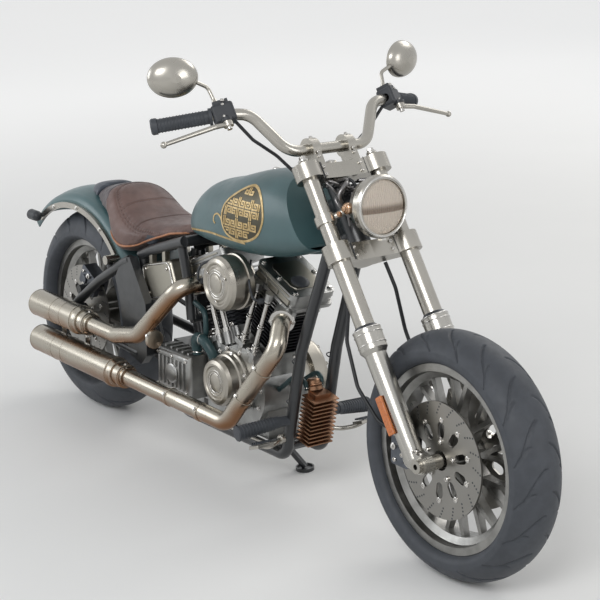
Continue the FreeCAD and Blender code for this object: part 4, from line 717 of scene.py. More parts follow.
def seat_rise(x, y, off, back):
    """How far the saddle's top stands out, from the distances to the border seam and the pillion end."""
    rise = -3.4 * notch(off, 2.4)
    rise += 2.6 * step(off, 1, 16) + 1.6 * step(-off, 1, 12) * (1 - step(-off, 16, 46))
    rise -= 1.5 * notch(off + 8.5, 1.7) * (1 - step(x, 400, 470))
    for seam in CROSS_SEAMS:
        rise -= 2.6 * notch(x - seam + SEAM_BOW * y * y, 2.4) * step(off, 2, 9)
    return rise - 2.8 * notch(back, 2.6)


def seat_cushion():
    """The saddle: a sewn inner panel, bolsters round it and a dark pillion end. Returns its surface."""
    mesh = stuffed("seat", SEAT_VOXEL, 3.0, 4.5)
    border = insert_border()
    tree = kdtree.KDTree(len(border))
    for i, point in enumerate(border):
        tree.insert(point, i)
    tree.balance()
    distances = []
    normals = [v.normal.copy() for v in mesh.vertices]
    for vertex, normal in zip(mesh.vertices, normals):
        x, y, z = vertex.co
        off = tree.find(Vector((x, y, 0)))[2]
        if x <= INSERT[0][0] or abs(y) >= between(INSERT, x):
            off = -off
        back = x - DARK_END - DARK_BOW * y * y
        distances.append((off, back, normal.z))
        if normal.z > 0.05:
            vertex.co += normal * seat_rise(x, y, off, back) * min(1.0, normal.z * 3)
    for polygon in mesh.polygons:
        corners = [distances[i] for i in polygon.vertices]
        off, back, lean = (sum(values) / len(corners) for values in zip(*corners))
        polygon.material_index = ON_PANEL if off > 0 and lean > 0 else (ON_PILLION if back < 0 else ON_SIDE)
        x, y, z = polygon.center
        low_on_side = abs(y) < PATCH_HALF_Y and z < PATCH_TOP and lean < PATCH_LEAN
        if PATCH_X[0] < x < PATCH_X[1] and low_on_side:
            polygon.material_index = ON_PATCH
    skin = surface_of(mesh)
    piece = new_object("seat_cushion", mesh, SEAT_LOOKS[0], "chassis", ("seat",))
    for look in SEAT_LOOKS[1:]:
        mesh.materials.append(LOOKS[look])
    return skin


def pillion_pad():
    """The small pad on the fender, behind the saddle."""
    mesh = stuffed("seat_pad_rear", PAD_VOXEL, 2.0, 3.0)
    piece = new_object("pillion_pad", mesh, "blue_leather", "chassis", ("seat_pad_rear",))


# Surfaces of the CAD pieces that were asked for, by name
SURFACES = {}
FAR = 300.0
RIBBON_STEP = 5.0
RIBBON_SUNK = 0.6


def hits(node, starts, toward):
    """Where lines from the starts meet a CAD piece, each with the way its surface faces there."""
    if node not in SURFACES:
        SURFACES[node] = surface_of(upright_mesh(node))
    toward = Vector(toward).normalized()
    found = []
    for start in starts:
        place, normal, _, _ = SURFACES[node].ray_cast(Vector(start), toward)
        if place is not None:
            found.append((place, -normal if normal.dot(toward) > 0 else normal))
    return found


def from_side(node, points, side):
    """The hits of level lines drawn in from one side, at (x, z) points."""
    return hits(node, [(x, side * FAR, z) for x, z in points], (0, -side, 0))


def socket_bolts(parts, found, size):
    """A socket bolt on every hit."""
    for place, normal in found:
        parts.socket_bolt(place, normal, size)


def hex_bolts(parts, found, size):
    """A six-sided bolt on every hit."""
    for place, normal in found:
        parts.hex_bolt(place, normal, size)


def round_points(centre, radius, count, phase=0.0):
    """(x, z) points round a centre."""
    turns = [2 * math.pi * i / count + phase for i in range(count)]
    return [(centre[0] + radius * math.cos(a), centre[1] + radius * math.sin(a)) for a in turns]


def ribbon(parts, node, side, line, width, height):
    """A raised strip on the side of a piece, along (x, z) points."""
    closed = line[0] == line[-1]
    path = []
    for (x0, z0), (x1, z1) in zip(line, line[1:]):
        count = max(1, round(math.hypot(x1 - x0, z1 - z0) / RIBBON_STEP))
        path += [(x0 + (x1 - x0) * i / count, z0 + (z1 - z0) * i / count) for i in range(count)]
    if not closed:
        path.append(line[-1])
    rings = []
    for i, (x, z) in enumerate(path):
        before = path[i - 1] if closed or i else path[0]
        after = path[(i + 1) % len(path)] if closed or i + 1 < len(path) else path[-1]
        along = Vector((after[0] - before[0], 0, after[1] - before[1])).normalized()
        across = Vector((-along.z, 0, along.x)) * (width / 2)
        ends = from_side(node, [(x - across.x, z - across.z), (x + across.x, z + across.z)], side)
        if len(ends) == 2:
            (low, down), (high, up) = ends
            rings.append([low - down * RIBBON_SUNK, high - up * RIBBON_SUNK, high + up * height,
                          low + down * height])
    if len(rings) > 1:
        parts.rings(rings, closed=closed and len(rings) == len(path))


def inside(point, outline):
    """Whether a point of the plane lies in a closed outline."""
    x, z = point
    within = False
    for (x0, z0), (x1, z1) in zip(outline, outline[1:] + outline[:1]):
        if (z0 > z) != (z1 > z) and x < x0 + (x1 - x0) * (z - z0) / (z1 - z0):
            within = not within
    return within


def curve(points, steps, closed=False):
    """A smooth line through (x, z) points."""
    return [(p.x, p.z) for p in smooth_path([(x, 0, z) for x, z in points], steps, closed)]


PANEL = [(995, 885), (1024, 877), (1049, 856), (1064, 828), (1067, 800), (1053, 768), (1024, 748), (985, 737),
         (941, 738), (908, 752), (890, 782), (889, 812), (904, 836), (932, 857), (963, 875)]
PANEL_LIFT, PANEL_SUNK = 0.7, 1.0
STRIPE = [(640, 705), (700, 718), (765, 727), (830, 733), (890, 733), (940, 732), (990, 731)]
SCROLL = [(892, 776), (882, 786), (866, 792), (850, 786), (846, 772), (856, 764)]
BORDER_W, STRIPE_W, SCROLL_W = 6.0, 5.4, 4.6
BORDER_H, STRIPE_H, KEY_H = 1.5, 1.3, 1.6
KEY = [(0, 0), (0, 1), (1, 1), (1, 0.32), (0.36, 0.32), (0.36, 0.66), (0.68, 0.66)]
KEY_SIZE, KEY_PITCH, KEY_STROKE = 21.0, 28.0, 4.3


def key_strokes(middle, room):
    """The strokes of a key pattern, mirrored from cell to cell, that lie inside a closed outline."""
    for column in range(-5, 6):
        for row in range(-4, 5):
            x, z = middle[0] + (column - 0.5) * KEY_PITCH, middle[1] + (row - 0.36) * KEY_PITCH
            points = [(x + (1 - u if column % 2 else u) * KEY_SIZE, z + (1 - v if row % 2 else v) * KEY_SIZE)
                      for u, v in KEY]
            for start, end in zip(points, points[1:]):
                if inside(start, room) and inside(end, room):
                    long = math.hypot(end[0] - start[0], end[1] - start[1])
                    dx, dz = ((end[k] - start[k]) / long * KEY_STROKE / 2 for k in (0, 1))
                    yield [(start[0] - dx, start[1] - dz), (end[0] + dx, end[1] + dz)]


def tank_panels():
    """On each side of the tank: a teardrop panel with a key pattern, its border, a scroll and a stripe."""
    ground, gold = Parts(), Parts()
    outline = curve(PANEL, 5, True)
    middle = (sum(x for x, _ in outline) / len(outline), sum(z for _, z in outline) / len(outline))

    def scaled(across, up):
        return [(middle[0] + (x - middle[0]) * across, middle[1] + (z - middle[1]) * up) for x, z in outline]

    strips = [(outline + outline[:1], BORDER_W, BORDER_H), (curve(STRIPE, 8), STRIPE_W, STRIPE_H),
              (curve(SCROLL, 8), SCROLL_W, STRIPE_H)]
    strips += [(stroke, KEY_STROKE, KEY_H) for stroke in key_strokes(middle, scaled(0.93, 0.92))]
    layers = [(share, PANEL_LIFT) for share in (0.03, 0.3, 0.6, 0.8, 1.0)]
    layers += [(share, -PANEL_SUNK) for share in (1.0, 0.6, 0.3, 0.03)]
    for side in (RIGHT, LEFT):
        ground.rings([[place + normal * lift for place, normal in
                       from_side("fuel_tank", scaled(share, share), side)] for share, lift in layers])
        for line, width, height in strips:
            ribbon(gold, "fuel_tank", side, line, width, height)
    ground.finish("panel_ground", "panel", "chassis")
    gold.finish("panel_gold", "gold", "chassis")


LAMP_DOWN = RAKE - math.radians(5.4)
LAMP_AXIS = FORK_AHEAD * math.cos(LAMP_DOWN) - FORK_UP * math.sin(LAMP_DOWN)
LAMP_RISE = FORK_AHEAD * math.sin(LAMP_DOWN) + FORK_UP * math.cos(LAMP_DOWN)
LAMP_DEPTH = 92.0
LENS_R, LENS_BACK, LENS_EDGE, LENS_DOME = 68.5, 81.0, 86.5, 9.0
LENS_RIBS, RIB_STEPS, RIB_H = 23, 8, 1.3
LENS_ROWS = 24


def lamp(depth, y, rise):
    """A point in the headlamp: forward from the back of its bowl, to the left, and up across it."""
    return LAMP_FRONT + LAMP_AXIS * (depth - LAMP_DEPTH) + Vector((0, y, 0)) + LAMP_RISE * rise


def ribbed_lens():
    """The lamp's glass: a dome with upright ribs."""
    lens = Parts()
    rings = []
    columns = LENS_RIBS * RIB_STEPS
    for i in range(columns + 1):
        y = (i / columns * 2 - 1) * LENS_R * 0.998
        chord = math.sqrt(LENS_R ** 2 - y ** 2)
        rib = abs(math.sin(math.pi * i / RIB_STEPS)) * RIB_H
        front, back = [], []
        for k in range(LENS_ROWS + 1):
            rise = (2 * k / LENS_ROWS - 1) * chord
            inward = 1 - (y * y + rise * rise) / LENS_R ** 2
            front.append(lamp(LENS_EDGE + LENS_DOME * inward + rib * min(1, inward * 5), y, rise))
            back.append(lamp(LENS_BACK, y, rise))
        rings.append(front + back[::-1])
    lens.rings(rings)
    lens.finish("ribbed_lens", "lens", "steering", ("headlamp_lens",), "lamp_glass")


def headlamp_details():
    """The bulb with its shield, the rim's beads and screw, and the brackets' bolts."""
    across = (LAMP_AXIS, (0, 1, 0), LAMP_RISE)
    bulb, trim, brackets = Parts(), Parts(), Parts()
    bulb.turned(lamp(20, 0, 0), LAMP_AXIS, [(0, 15), (18, 14), (22, 9), (46, 8), (50, 4)], 32)
    bulb.brick(lamp(70, 0, 2), (10, 104, 9), across)
    trim.torus(lamp(90.5, 0, 0), LAMP_AXIS, 74.5, 3.0, 72, 12)
    trim.torus(lamp(66, 0, 0), LAMP_AXIS, 77.6, 1.6, 72, 8)
    trim.brick(lamp(79, 0, -81), (16, 14, 8), across)
    for side in (RIGHT, LEFT):
        outward = (0, side, 0)
        brackets.turned(lamp(34, side * 58, 0), outward, [(0, 15), (16, 15), (19, 12), (19, 0)], 24)
        brackets.hex_bolt(lamp(34, side * 77, 0), outward, 8)
        brackets.hex_bolt(fork(72, side * 88, -112), FORK_AHEAD, 6)
    bulb.finish("lamp_bulb", "copper", "steering")
    trim.finish("lamp_trim", "chrome", "steering")
    brackets.finish("lamp_brackets", "bracket", "steering", edge=0.6)


LOOM_COUNT = 11


def wiring():
    """The looms and hoses bunched between the upper clamp and the lamp."""
    pick = random.Random(4)
    loom, dark = Parts(), Parts()
    for i in range(LOOM_COUNT):
        y0, y1 = pick.uniform(-62, 62), pick.uniform(-58, 58)
        points = [fork(pick.uniform(2, 22), y0, pick.uniform(-16, -6)),
                  fork(pick.uniform(46, 78), y0 + pick.uniform(-26, 26), pick.uniform(-44, -18)),
                  fork(pick.uniform(30, 64), y1, pick.uniform(-78, -52)),
                  fork(pick.uniform(14, 40), y1 * 0.6, pick.uniform(-128, -96))]
        (loom if i % 3 else dark).pipe(points, pick.uniform(2.6, 5.0), 10)
    for side in (RIGHT, LEFT):
        loom.pipe([fork(64, side * 20, -26), fork(84, side * 44, -40), fork(70, side * 66, -62),
                   fork(52, side * 50, -88)], 6.5)
    loom.finish("lamp_wiring", "loom", "steering")
    dark.finish("lamp_leads", "hose", "steering")


LEG_AHEAD, LEG_Y = 40.0, 110.5
CLAMP_TOP = 42.0
CLAMPS = (("upper_clamp", 21.0), ("lower_clamp", -205.0))
SLIT_Y, CLAMP_BOLT_Y = 70.0, 59.0
COLLAR_RINGS = ((-412, 35.2, 2.2), (-424, 36.2, 1.6), (-452, 36.2, 1.6), (-466, 33, 1.6))
RISER_Y = 57.0
LEVER_PIVOT = (24.0, 280.0, 197.0)


def fork_details():
    """Clamp slits and bolts, stem nut, fork caps, seal rings, axle screws and bar clamp screws."""
    bright, dark = Parts(), Parts()
    bright.turned(fork(0, 0, CLAMP_TOP), FORK_UP, [(0, 24), (6, 24), (7, 20)])
    bright.turned(fork(0, 0, CLAMP_TOP + 6), FORK_UP, [(0, 18.5), (10, 18.5), (12, 15), (15, 11), (16, 0)], 6)
    for side in (RIGHT, LEFT):
        y = side * LEG_Y
        bright.turned(fork(LEG_AHEAD, y, CLAMP_TOP + 10), FORK_UP, [(0, 14), (5, 14), (8, 11)])
        bright.turned(fork(LEG_AHEAD, y, CLAMP_TOP + 17), FORK_UP, [(0, 9), (8, 9), (9.5, 7)], 6)
        for node, z in CLAMPS:
            for place, normal in hits(node, [fork(260, side * SLIT_Y, z)], -FORK_AHEAD):
                dark.brick(place, (2.2, 4, 45), ((0, 1, 0), normal, FORK_UP))
            starts = [fork(260, side * CLAMP_BOLT_Y, z + lift) for lift in (-11, 11)]
            socket_bolts(bright, hits(node, starts, -FORK_AHEAD), 5.2)
        for z, radius, thick in COLLAR_RINGS:
            bright.torus(fork(LEG_AHEAD, y, z), FORK_UP, radius, thick, 56)
        dark.turned(fork(LEG_AHEAD, y, -411), FORK_UP, [(0, 31), (5, 30), (9, 26.5), (9, 25)], 48)
        above = [fork(18 + ahead, side * RISER_Y, 240) for ahead in (-16, 16)]
        before = [fork(240, side * RISER_Y, z) for z in (64, 76)]
        pinch = [fork(200, side * 118, z) for z in (-752, -740)]
        socket_bolts(bright, hits("bar_risers", above, -FORK_UP), 5.0)
        socket_bolts(bright, hits("bar_risers", before, -FORK_AHEAD), 4.5)
        socket_bolts(bright, from_side("fork_lowers", [(FRONT_AXLE.x, FRONT_AXLE.z)], side), 3.0)
        socket_bolts(bright, hits("fork_lowers", pinch, -FORK_AHEAD), 5.5)
        bright.turned(fork(*mirror_side(LEVER_PIVOT, side)), FORK_UP, [(-26, 7), (0, 7), (2, 5)], 20)
    bright.finish("fork_fittings", "chrome", "steering")
    dark.finish("fork_seals", "black_plastic", "steering")


BAR_HOUSING, BAR_END = (5, 269, 222), (-86, 424, 249)
GRIP_RIBS, GRIP_START, GRIP_REST = 15, 52.0, 66.0
BUTTONS = ((2, 6.5), (20, 5.0), (-10, 5.0))


def grip_details():
    """Ribs round the grips, and the buttons and screws of the switch housings."""
    ribs, bright, buttons = Parts(), Parts(), Parts()
    for side in (RIGHT, LEFT):
        start, end = (fork(*mirror_side(point, side)) for point in (BAR_HOUSING, BAR_END))
        along = (end - start).normalized()
        spread = ((end - start).length - GRIP_REST) / (GRIP_RIBS - 1)
        for i in range(GRIP_RIBS):
            ribs.torus(start + along * (GRIP_START + i * spread), along, 17.3, 1.7, 40, 8)
        ribs.turned(end - along * 4, along, [(0, 20.5), (5, 21), (9, 17), (10, 0)], 40)
        down = along.cross(FORK_AHEAD).normalized()
        ahead = FORK_AHEAD * 120
        screws = [start + along * 14 + down * drop + ahead for drop in (-16, 16)]
        socket_bolts(bright, hits("switch_housings", screws, -FORK_AHEAD), 3.6)
        for shift, size in BUTTONS:
            behind = start + along * shift - ahead + down * (shift * 0.3)
            for place, normal in hits("switch_housings", [behind], FORK_AHEAD):
                buttons.turned(place, normal, [(-1, size), (3, size), (4.4, size * 0.8)], 20)
        for place, _ in hits("switch_housings", [start + along * 4 + Vector((0, 0, 160))], (0, 0, -1)):
            bright.hex_bolt(place, (0, 0, 1), 4.6)
    ribs.finish("grip_ribs", "grip", "steering")
    bright.finish("switch_screws", "chrome", "steering")
    buttons.finish("switch_buttons", "button", "steering")


V_AT = Vector((863, 0, 213))
V_HALF = math.radians(22.5)
ROCKER_TOP = 456.3
LID_PLATE = ((-62, -40), (-62, 40), (-44, 50), (44, 50), (62, 40), (62, -40), (44, -50), (-44, -50))
PUSHRODS = {1: (-46.0, 10.0), -1: (-52.0, -8.0)}
PUSHROD_Y, TAPPET_AT = -84.0, 226.0
PUSHROD_COLLARS = ((6, 10.8), (18, 9.0), (76, 8.3), (84, 7.8), (158, 8.0), (166, 9.4))
LEFTWARD = Vector((0, 1, 0))


def cylinder(side, along, across, y):
    """A point on a cylinder: side 1 is the front one; along its axis, across it, and to the left."""
    return V_AT + Vector((side * math.sin(V_HALF) * along + math.cos(V_HALF) * across, y,
                          math.cos(V_HALF) * along - side * math.sin(V_HALF) * across))


def rocker_details(side, bright, khaki, dark):
    """A rocker box's lid bolts, raised plate and cap, and the pads and screws on its sides."""
    up = cylinder(side, 1, 0, 0) - V_AT
    out = cylinder(side, 0, 1, 0) - V_AT
    axes = (out, LEFTWARD, up)
    for across in (-78, 0, 78):
        for y in (-58, 58):
            bright.hex_bolt(cylinder(side, ROCKER_TOP, across, y), up, 6.2)
    cap = [(-1, 26), (5, 26), (8, 22), (9, 14), (9, 0)]
    dark.turned(cylinder(side, ROCKER_TOP, side * 34, -12), up, cap, 40)
    khaki.slab([cylinder(side, ROCKER_TOP - 0.5, across, y) for across, y in LID_PLATE], 2.4, up)
    for face in (-1, 1):
        for across in (-54, 0, 54):
            khaki.brick(cylinder(side, 428, across, face * 69.6), (46, 6.5, 17), axes)
            bright.socket_bolt(cylinder(side, 413.5, across, face * 76), LEFTWARD * face, 3.8)
        khaki.brick(cylinder(side, 447, 0, face * 73.5), (150, 3.5, 5), axes)


def pushrod_details(side, bright, cast):
    """The tappet blocks with their bolts, and the collars on the pushrod tubes."""
    up = cylinder(side, 1, 0, 0) - V_AT
    out = cylinder(side, 0, 1, 0) - V_AT
    for across in PUSHRODS[side]:
        foot = cylinder(side, TAPPET_AT, across, PUSHROD_Y)
        cast.brick(foot - up * 9, (40, 32, 15), (out, LEFTWARD, up))
        for step_out in (-15, 15):
            bright.hex_bolt(foot - up * 2 + out * step_out - LEFTWARD * 9, up, 4.4)
        for height, radius in PUSHROD_COLLARS:
            bright.torus(foot + up * height, up, radius, 2.1, 32, 8)


def plug_details(side, dark, brass, cast):
    """A spark plug in the head's right face, and its lead up to the coil under the tank."""
    plug = cylinder(side, 384, -side * 4, -62)
    brass.turned(plug, -LEFTWARD, [(0, 11), (7, 11), (7, 8)], 6)
    cast.turned(plug - LEFTWARD * 6, -LEFTWARD, [(0, 6), (22, 5.2)], 20)
    dark.turned(plug - LEFTWARD * 20, -LEFTWARD, [(0, 7.6), (20, 8.6), (24, 6)], 20)
    dark.pipe([plug - LEFTWARD * 40, plug + Vector((-side * 10, -56, 14)),
               plug + Vector((-side * 34, -50, 60)), (V_AT.x + side * 22, -44, 652)], 3.6, 10)


AIR, AIR_FACE_Y = (906, 607), -174.4
CAM, CAM_FACE_Y = (868, 315), -155.4
BADGES = ((AIR, AIR_FACE_Y, ((33, 1.5), (40, 1.0))), (CAM, CAM_FACE_Y, ((28, 1.3), (36, 1.0))))
CASE_BOLTS = ((970, 300), (966, 372), (948, 410), (960, 250), (800, 380), (790, 250), (772, 300), (838, 398),
              (900, 398))
GEARBOX_BOLTS = [(x, z) for x in (534, 608, 682) for z in (230, 326)]
CASE_FACE = 78.0


def cover_details(bright, cast, badge):
    """The blank badges and rings of the round covers, and the bolts and ribs of the cases' right faces."""
    for (x, z), y, rings in BADGES:
        for radius, thick in rings:
            bright.torus((x, y, z), LEFTWARD, radius, thick, 64, 8)
        badge.turned((x, y + 0.6, z), -LEFTWARD, [(0, 25), (1.4, 25), (2.0, 24), (2.0, 0)], 56)
    for x, z in round_points(AIR, 48, 3, 0.5):
        bright.socket_bolt((x, AIR_FACE_Y + 0.4, z), -LEFTWARD, 4.4)
    socket_bolts(bright, from_side("cam_cover", round_points(CAM, 77, 6, 0.4), RIGHT), 4.6)
    hex_bolts(bright, from_side("crankcase", CASE_BOLTS, RIGHT), 5.2)
    socket_bolts(bright, from_side("transmission", GEARBOX_BOLTS, RIGHT), 5.0)
    for i in range(7):
        cast.brick((544 + i * 21, -134, 278), (7, 7, 84))
    cast.turned((612, -131, 278), -LEFTWARD, [(0, 30), (8, 30), (11, 26), (11, 0)], 48)
    for i in range(5):
        cast.brick((V_AT.x + 4, -CASE_FACE, 246 + i * 11), (150 - i * 9, 5, 4.5))


def engine_details():
    """What stands on the engine: rocker boxes, pushrods, plugs, base nuts and covers."""
    bright, khaki, dark, brass, cast, badge = (Parts() for _ in range(6))
    for side in (1, -1):
        rocker_details(side, bright, khaki, dark)
        pushrod_details(side, bright, cast)
        plug_details(side, dark, brass, cast)
        starts = [cylinder(side, 244, across, -200) for across in (-52, 52)]
        hex_bolts(bright, hits("cylinders", starts, LEFTWARD), 5)
    cover_details(bright, cast, badge)
    bright.finish("engine_fasteners", "chrome", "chassis")
    badge.finish("cover_badges", "cover", "chassis")
    khaki.finish("rocker_pads", "khaki", "chassis", edge=0.8)
    dark.finish("ignition_leads", "black_plastic", "chassis")
    brass.finish("spark_plugs", "satin", "chassis")
    cast.finish("engine_castings", "case", "chassis", edge=0.8)


ELBOW = [(690, -96, 350), (694, -104, 384), (716, -110, 404), (752, -110, 398), (776, -104, 372),
         (784, -96, 346)]
BREATHER = [(716, -88, 372), (734, -96, 430), (720, -92, 476), (660, -84, 492)]
ELBOW_CLIPS = (((690, -97, 356), (0, 0, 1)), ((783, -98, 352), (0, 0, 1)), ((734, -110, 403), (1, 0, 0)))
COOLER_UP = (-0.2, 0, 1)


def engine_hoses():
    """The fat elbow behind the cam chest, the breather, the cooler's hoses and cap, and their clips."""
    soft, clips, metal = Parts(), Parts(), Parts()
    soft.pipe(ELBOW, 15, 20)
    soft.pipe(BREATHER, 8, 14)
    for at, along in ELBOW_CLIPS:
        clips.torus(at, along, 15.2, 1.9, 32, 8)
    for y in (-22, 22):
        soft.pipe([(1116, y, 334), (1112, y * 1.3, 356), (1080, y * 1.6, 362), (1030, y * 1.4, 330),
                   (985, y, 300)], 7, 14)
        clips.torus((1116, y, 340), (0, 0, 1), 7.6, 1.5, 24, 8)
    metal.turned((1118, 0, 336), COOLER_UP, [(-4, 24), (6, 24), (10, 20), (22, 19), (26, 14), (26, 0)], 40)
    metal.torus((1120, 0, 348), COOLER_UP, 20, 2.2, 40, 8)
    soft.finish("engine_hoses", "teal_rubber", "chassis")
    clips.finish("hose_clips", "chrome", "chassis")
    metal.finish("cooler_cap", "copper", "chassis")


MUFFLER_Y = -196.0
MUFFLERS = ((262, 354), (470, 238))
MUFFLER_BANDS = ((20, 35.0), (52, 39.0), (78, 44.6))
PORTS = ((cylinder(1, 381.3, 84, -82), Vector((math.cos(V_HALF), -1, -math.sin(V_HALF))).normalized()),
         (cylinder(-1, 381.3, 34, -78), -LEFTWARD))
PIPE_BANDS = (((700, MUFFLER_Y, 238), (1, 0, 0)), ((850, -190.6, 232), (0.997, 0.07, -0.05)),
              ((1020, -166.5, 309), (0.56, 0.15, 0.79)), ((1084, -149.5, 399), (0.56, 0.15, 0.79)),
              ((610, -192.6, 388), (1, 0, 0.03)))


def exhaust_details():
    """Port flanges with nuts, heat-shield bands along the pipes, and clamps on the mufflers."""
    bright, bands = Parts(), Parts()
    for at, axis in PORTS:
        bright.turned(at + axis * 6, axis, [(0, 34), (5, 34), (6, 30)], 40)
        across = axis.cross(Vector((0, 0, 1))).normalized()
        for turn in (-1, 1):
            bright.hex_bolt(at + axis * 11 + across * turn * 29.5, axis, 5)
    for x, z in MUFFLERS:
        for back, radius in MUFFLER_BANDS:
            low, high = radius - 0.6, radius + 1.6
            profile = [(0, low), (0.8, high), (9.2, high), (10, low)]
            bands.turned((x - back + 5, MUFFLER_Y, z), (-1, 0, 0), profile, 56)
        bright.hex_bolt((x - 20, MUFFLER_Y, z + 36), (0, 0, 1), 4.5)
        bands.torus((-74, MUFFLER_Y, z), (1, 0, 0), 41.6, 2.0, 56, 8)
        for at in (60, 120):
            bands.turned((at, MUFFLER_Y, z), (-1, 0, 0), [(0, 42.6), (0.6, 43.9), (4.4, 43.9), (5, 42.6)], 56)
    for at, along in PIPE_BANDS:
        bands.turned(at, along, [(-6, 25.2), (-5, 27.2), (5, 27.2), (6, 25.2)], 48)
        bright.hex_bolt(Vector(at) + Vector((0, -24, 14)), (0, -0.86, 0.5), 4.2)
    for x in (180, 30):
        bright.brick((x, -168, 296), (30, 5, 66))
        bright.hex_bolt((x, -171, 296), -LEFTWARD, 6)
    bright.finish("exhaust_fittings", "chrome", "chassis")
    bands.finish("exhaust_bands", "exhaust", "chassis")


BOBBIN = [(-1, 7.5), (1.6, 7.5), (2.4, 6.2), (2.4, 3.4), (0.6, 3.2), (0.6, 0)]
# Profile of the thin dark disc painted as shade on each of the brake disc's holes
HOLE_SHADE_PROFILE = [(-0.4, 2.6), (0.12, 2.6), (0.12, 0)]
HOLE_ROWS = (119, 127, 135, 143)
ROTOR_BOLT_R, BOBBIN_R, STEM_R, STEM_TURN = 48, 102, 214, 2.2
HUB_HALF_Y = 30.0


def disc_hits(node, points, side):
    """Hits on the near disc, without those that pass through to the hub."""
    return [place for place, _ in from_side(node, points, side) if abs(place.y) > HUB_HALF_Y]


def wheel_details(name, centre, disc, disc_sides):
    """Rotor bolts, disc bobbins, thin dark discs painted as the shade in the disc's holes, and the valve
    stem; all turn with the wheel.
    """
    bright, dark = Parts(), Parts()
    middle = (centre.x, centre.z)
    for side in (RIGHT, LEFT):
        for place in disc_hits(disc, round_points(middle, ROTOR_BOLT_R, 5, 0.3), side):
            bright.socket_bolt(place, LEFTWARD * side, 6.4)
        if side not in disc_sides:
            continue
        for place in disc_hits(disc, round_points(middle, BOBBIN_R, 10, math.pi / 10), side):
            bright.turned(place, LEFTWARD * side, BOBBIN, 24)
        # Painted shade: a thin black disc on each hole stands for the shade seen through it
        for radius in HOLE_ROWS:
            for place in disc_hits(disc, round_points(middle, radius, 20, radius * 0.31), side):
                dark.turned(place, LEFTWARD * side, HOLE_SHADE_PROFILE, 12)
    inward = -Vector((math.cos(STEM_TURN), 0, math.sin(STEM_TURN)))
    bright.turned(centre - inward * STEM_R, inward, [(-8, 4.5), (24, 4.0), (26, 5.2), (36, 5.2), (37, 4)], 16)
    bright.finish(name + "_wheel_bolts", "chrome", name + "_wheel_set")
    dark.finish(name + "_painted_hole_shade", "black_plastic", name + "_wheel_set")


CALIPER_R = 122.0
FRONT_CALIPER_TURN, REAR_CALIPER_TURN = 179.5, 62.0
CALIPER_BOLTS = ((-34, 20), (34, 20), (-12, -14), (12, -14))


def caliper_details(node, body, centre, angle, sides):
    """A caliper's bolts and its brake hose union; the angle is the caliper's place round the axle."""
    bright = Parts()
    out = Vector((math.cos(math.radians(angle)), 0, math.sin(math.radians(angle))))
    along = Vector((-out.z, 0, out.x))
    bolts = [centre + out * (CALIPER_R + lift) + along * shift for shift, lift in CALIPER_BOLTS]
    union = centre + out * (CALIPER_R + 24)
    for side in sides:
        socket_bolts(bright, from_side(node, [(at.x, at.z) for at in bolts], side), 6.0)
        for place, normal in from_side(node, [(union.x, union.z)], side):
            bright.turned(place, normal, [(-1, 9), (6, 9), (7, 7), (7, 0)], 20)
            bright.hex_bolt(place + normal * 6, normal, 5)
    bright.finish(node + "_bolts", "chrome", body)


PEG_RIBS = 11
PEDAL_PIVOT_Y, PEDAL_PAD = 74.0, (1120, 176, 206)


def foot_details():
    """Ribbed sleeves on the pegs, a pedal under each, and the brake's rod."""
    ribs, bright = Parts(), Parts()
    for side in (RIGHT, LEFT):
        start, run = Vector((1090, side * 100, 250)), Vector((-20, side * 130, -16)).normalized()
        for i in range(PEG_RIBS):
            ribs.torus(start + run * (18 + i * 9.2), run, 16.4 + i * 0.34, 2.0, 36, 8)
        ribs.turned(start + run * 118, run, [(0, 20.5), (4, 22), (8, 20), (9, 0)], 36)
        pad = mirror_side(PEDAL_PAD, side)
        bright.pipe([(1082, side * 84, 196), (1094, side * 118, 190), (1112, side * 150, 196), pad], 6.5, 14)
        bright.brick(pad, (44, 52, 9), ((1, 0, 0.35), (0, 1, 0), (-0.35, 0, 1)))
        for i in range(4):
            ribs.brick(pad + Vector((-13 + i * 9, 0, 6.0 + i * 3)), (4, 46, 4))
        pivot = [(-8, 13), (14, 13), (16, 10), (16, 0)]
        bright.turned((1082, side * PEDAL_PIVOT_Y, 196), LEFTWARD * side, pivot)
    bright.pipe([(1078, -88, 184), (1000, -92, 168), (860, -92, 166), (720, -92, 172)], 4.0, 10, 6)
    ribs.finish("peg_rubbers", "grip", "chassis")
    bright.finish("pedals", "satin", "chassis", edge=0.8)


PLATE_Y = 112.0
PLATE_CORNERS = [(422, 558), (441, 464), (602, 503), (562, 594)]
PLATE_SCREWS = [(441, 553), (455, 482), (584, 514), (556, 574)]
FRAME_BOLTS = [(470, 300), (1150, 560), (1130, 440)]
CLIPS = [(1097, 300), (1124, 420), (1150, 540)]


def side_plates():
    """The chrome edge and screws of the oil tank's sides, and clips on the downtubes."""
    bright, dark = Parts(), Parts()
    for side in (RIGHT, LEFT):
        path, y = [], side * (PLATE_Y + 0.6)
        for (x0, z0), (x1, z1) in zip(PLATE_CORNERS, PLATE_CORNERS[1:] + PLATE_CORNERS[:1]):
            path += [(x0 + (x1 - x0) * t, y, z0 + (z1 - z0) * t) for t in (0.1, 0.5, 0.9)]
        bright.pipe(path, 2.6, 10, 5, closed=True)
        for x, z in PLATE_SCREWS:
            bright.socket_bolt((x, side * PLATE_Y, z), LEFTWARD * side, 5.0)
        for place, _ in from_side("frame", CLIPS, side):
            dark.torus(place - LEFTWARD * side * 15, (0.22, 0, 1), 16.2, 1.8, 32, 8)
    socket_bolts(bright, from_side("frame", FRAME_BOLTS, RIGHT), 5.0)
    bright.finish("side_plate_trim", "chrome", "chassis")
    dark.finish("cable_clips", "black_plastic", "chassis")


PRIMARY_FRONT, PRIMARY_REAR = (868, 292), (640, 300)
PRIMARY_FACE_Y = 171.5
INSPECTION = (652, 300)
DERBY_LID = [(0, 60), (4, 60), (7, 56), (7, 47), (5.4, 45), (5.4, 0)]
SMALL_LID = [(0, 42), (4, 42), (6, 39), (6, 0)]


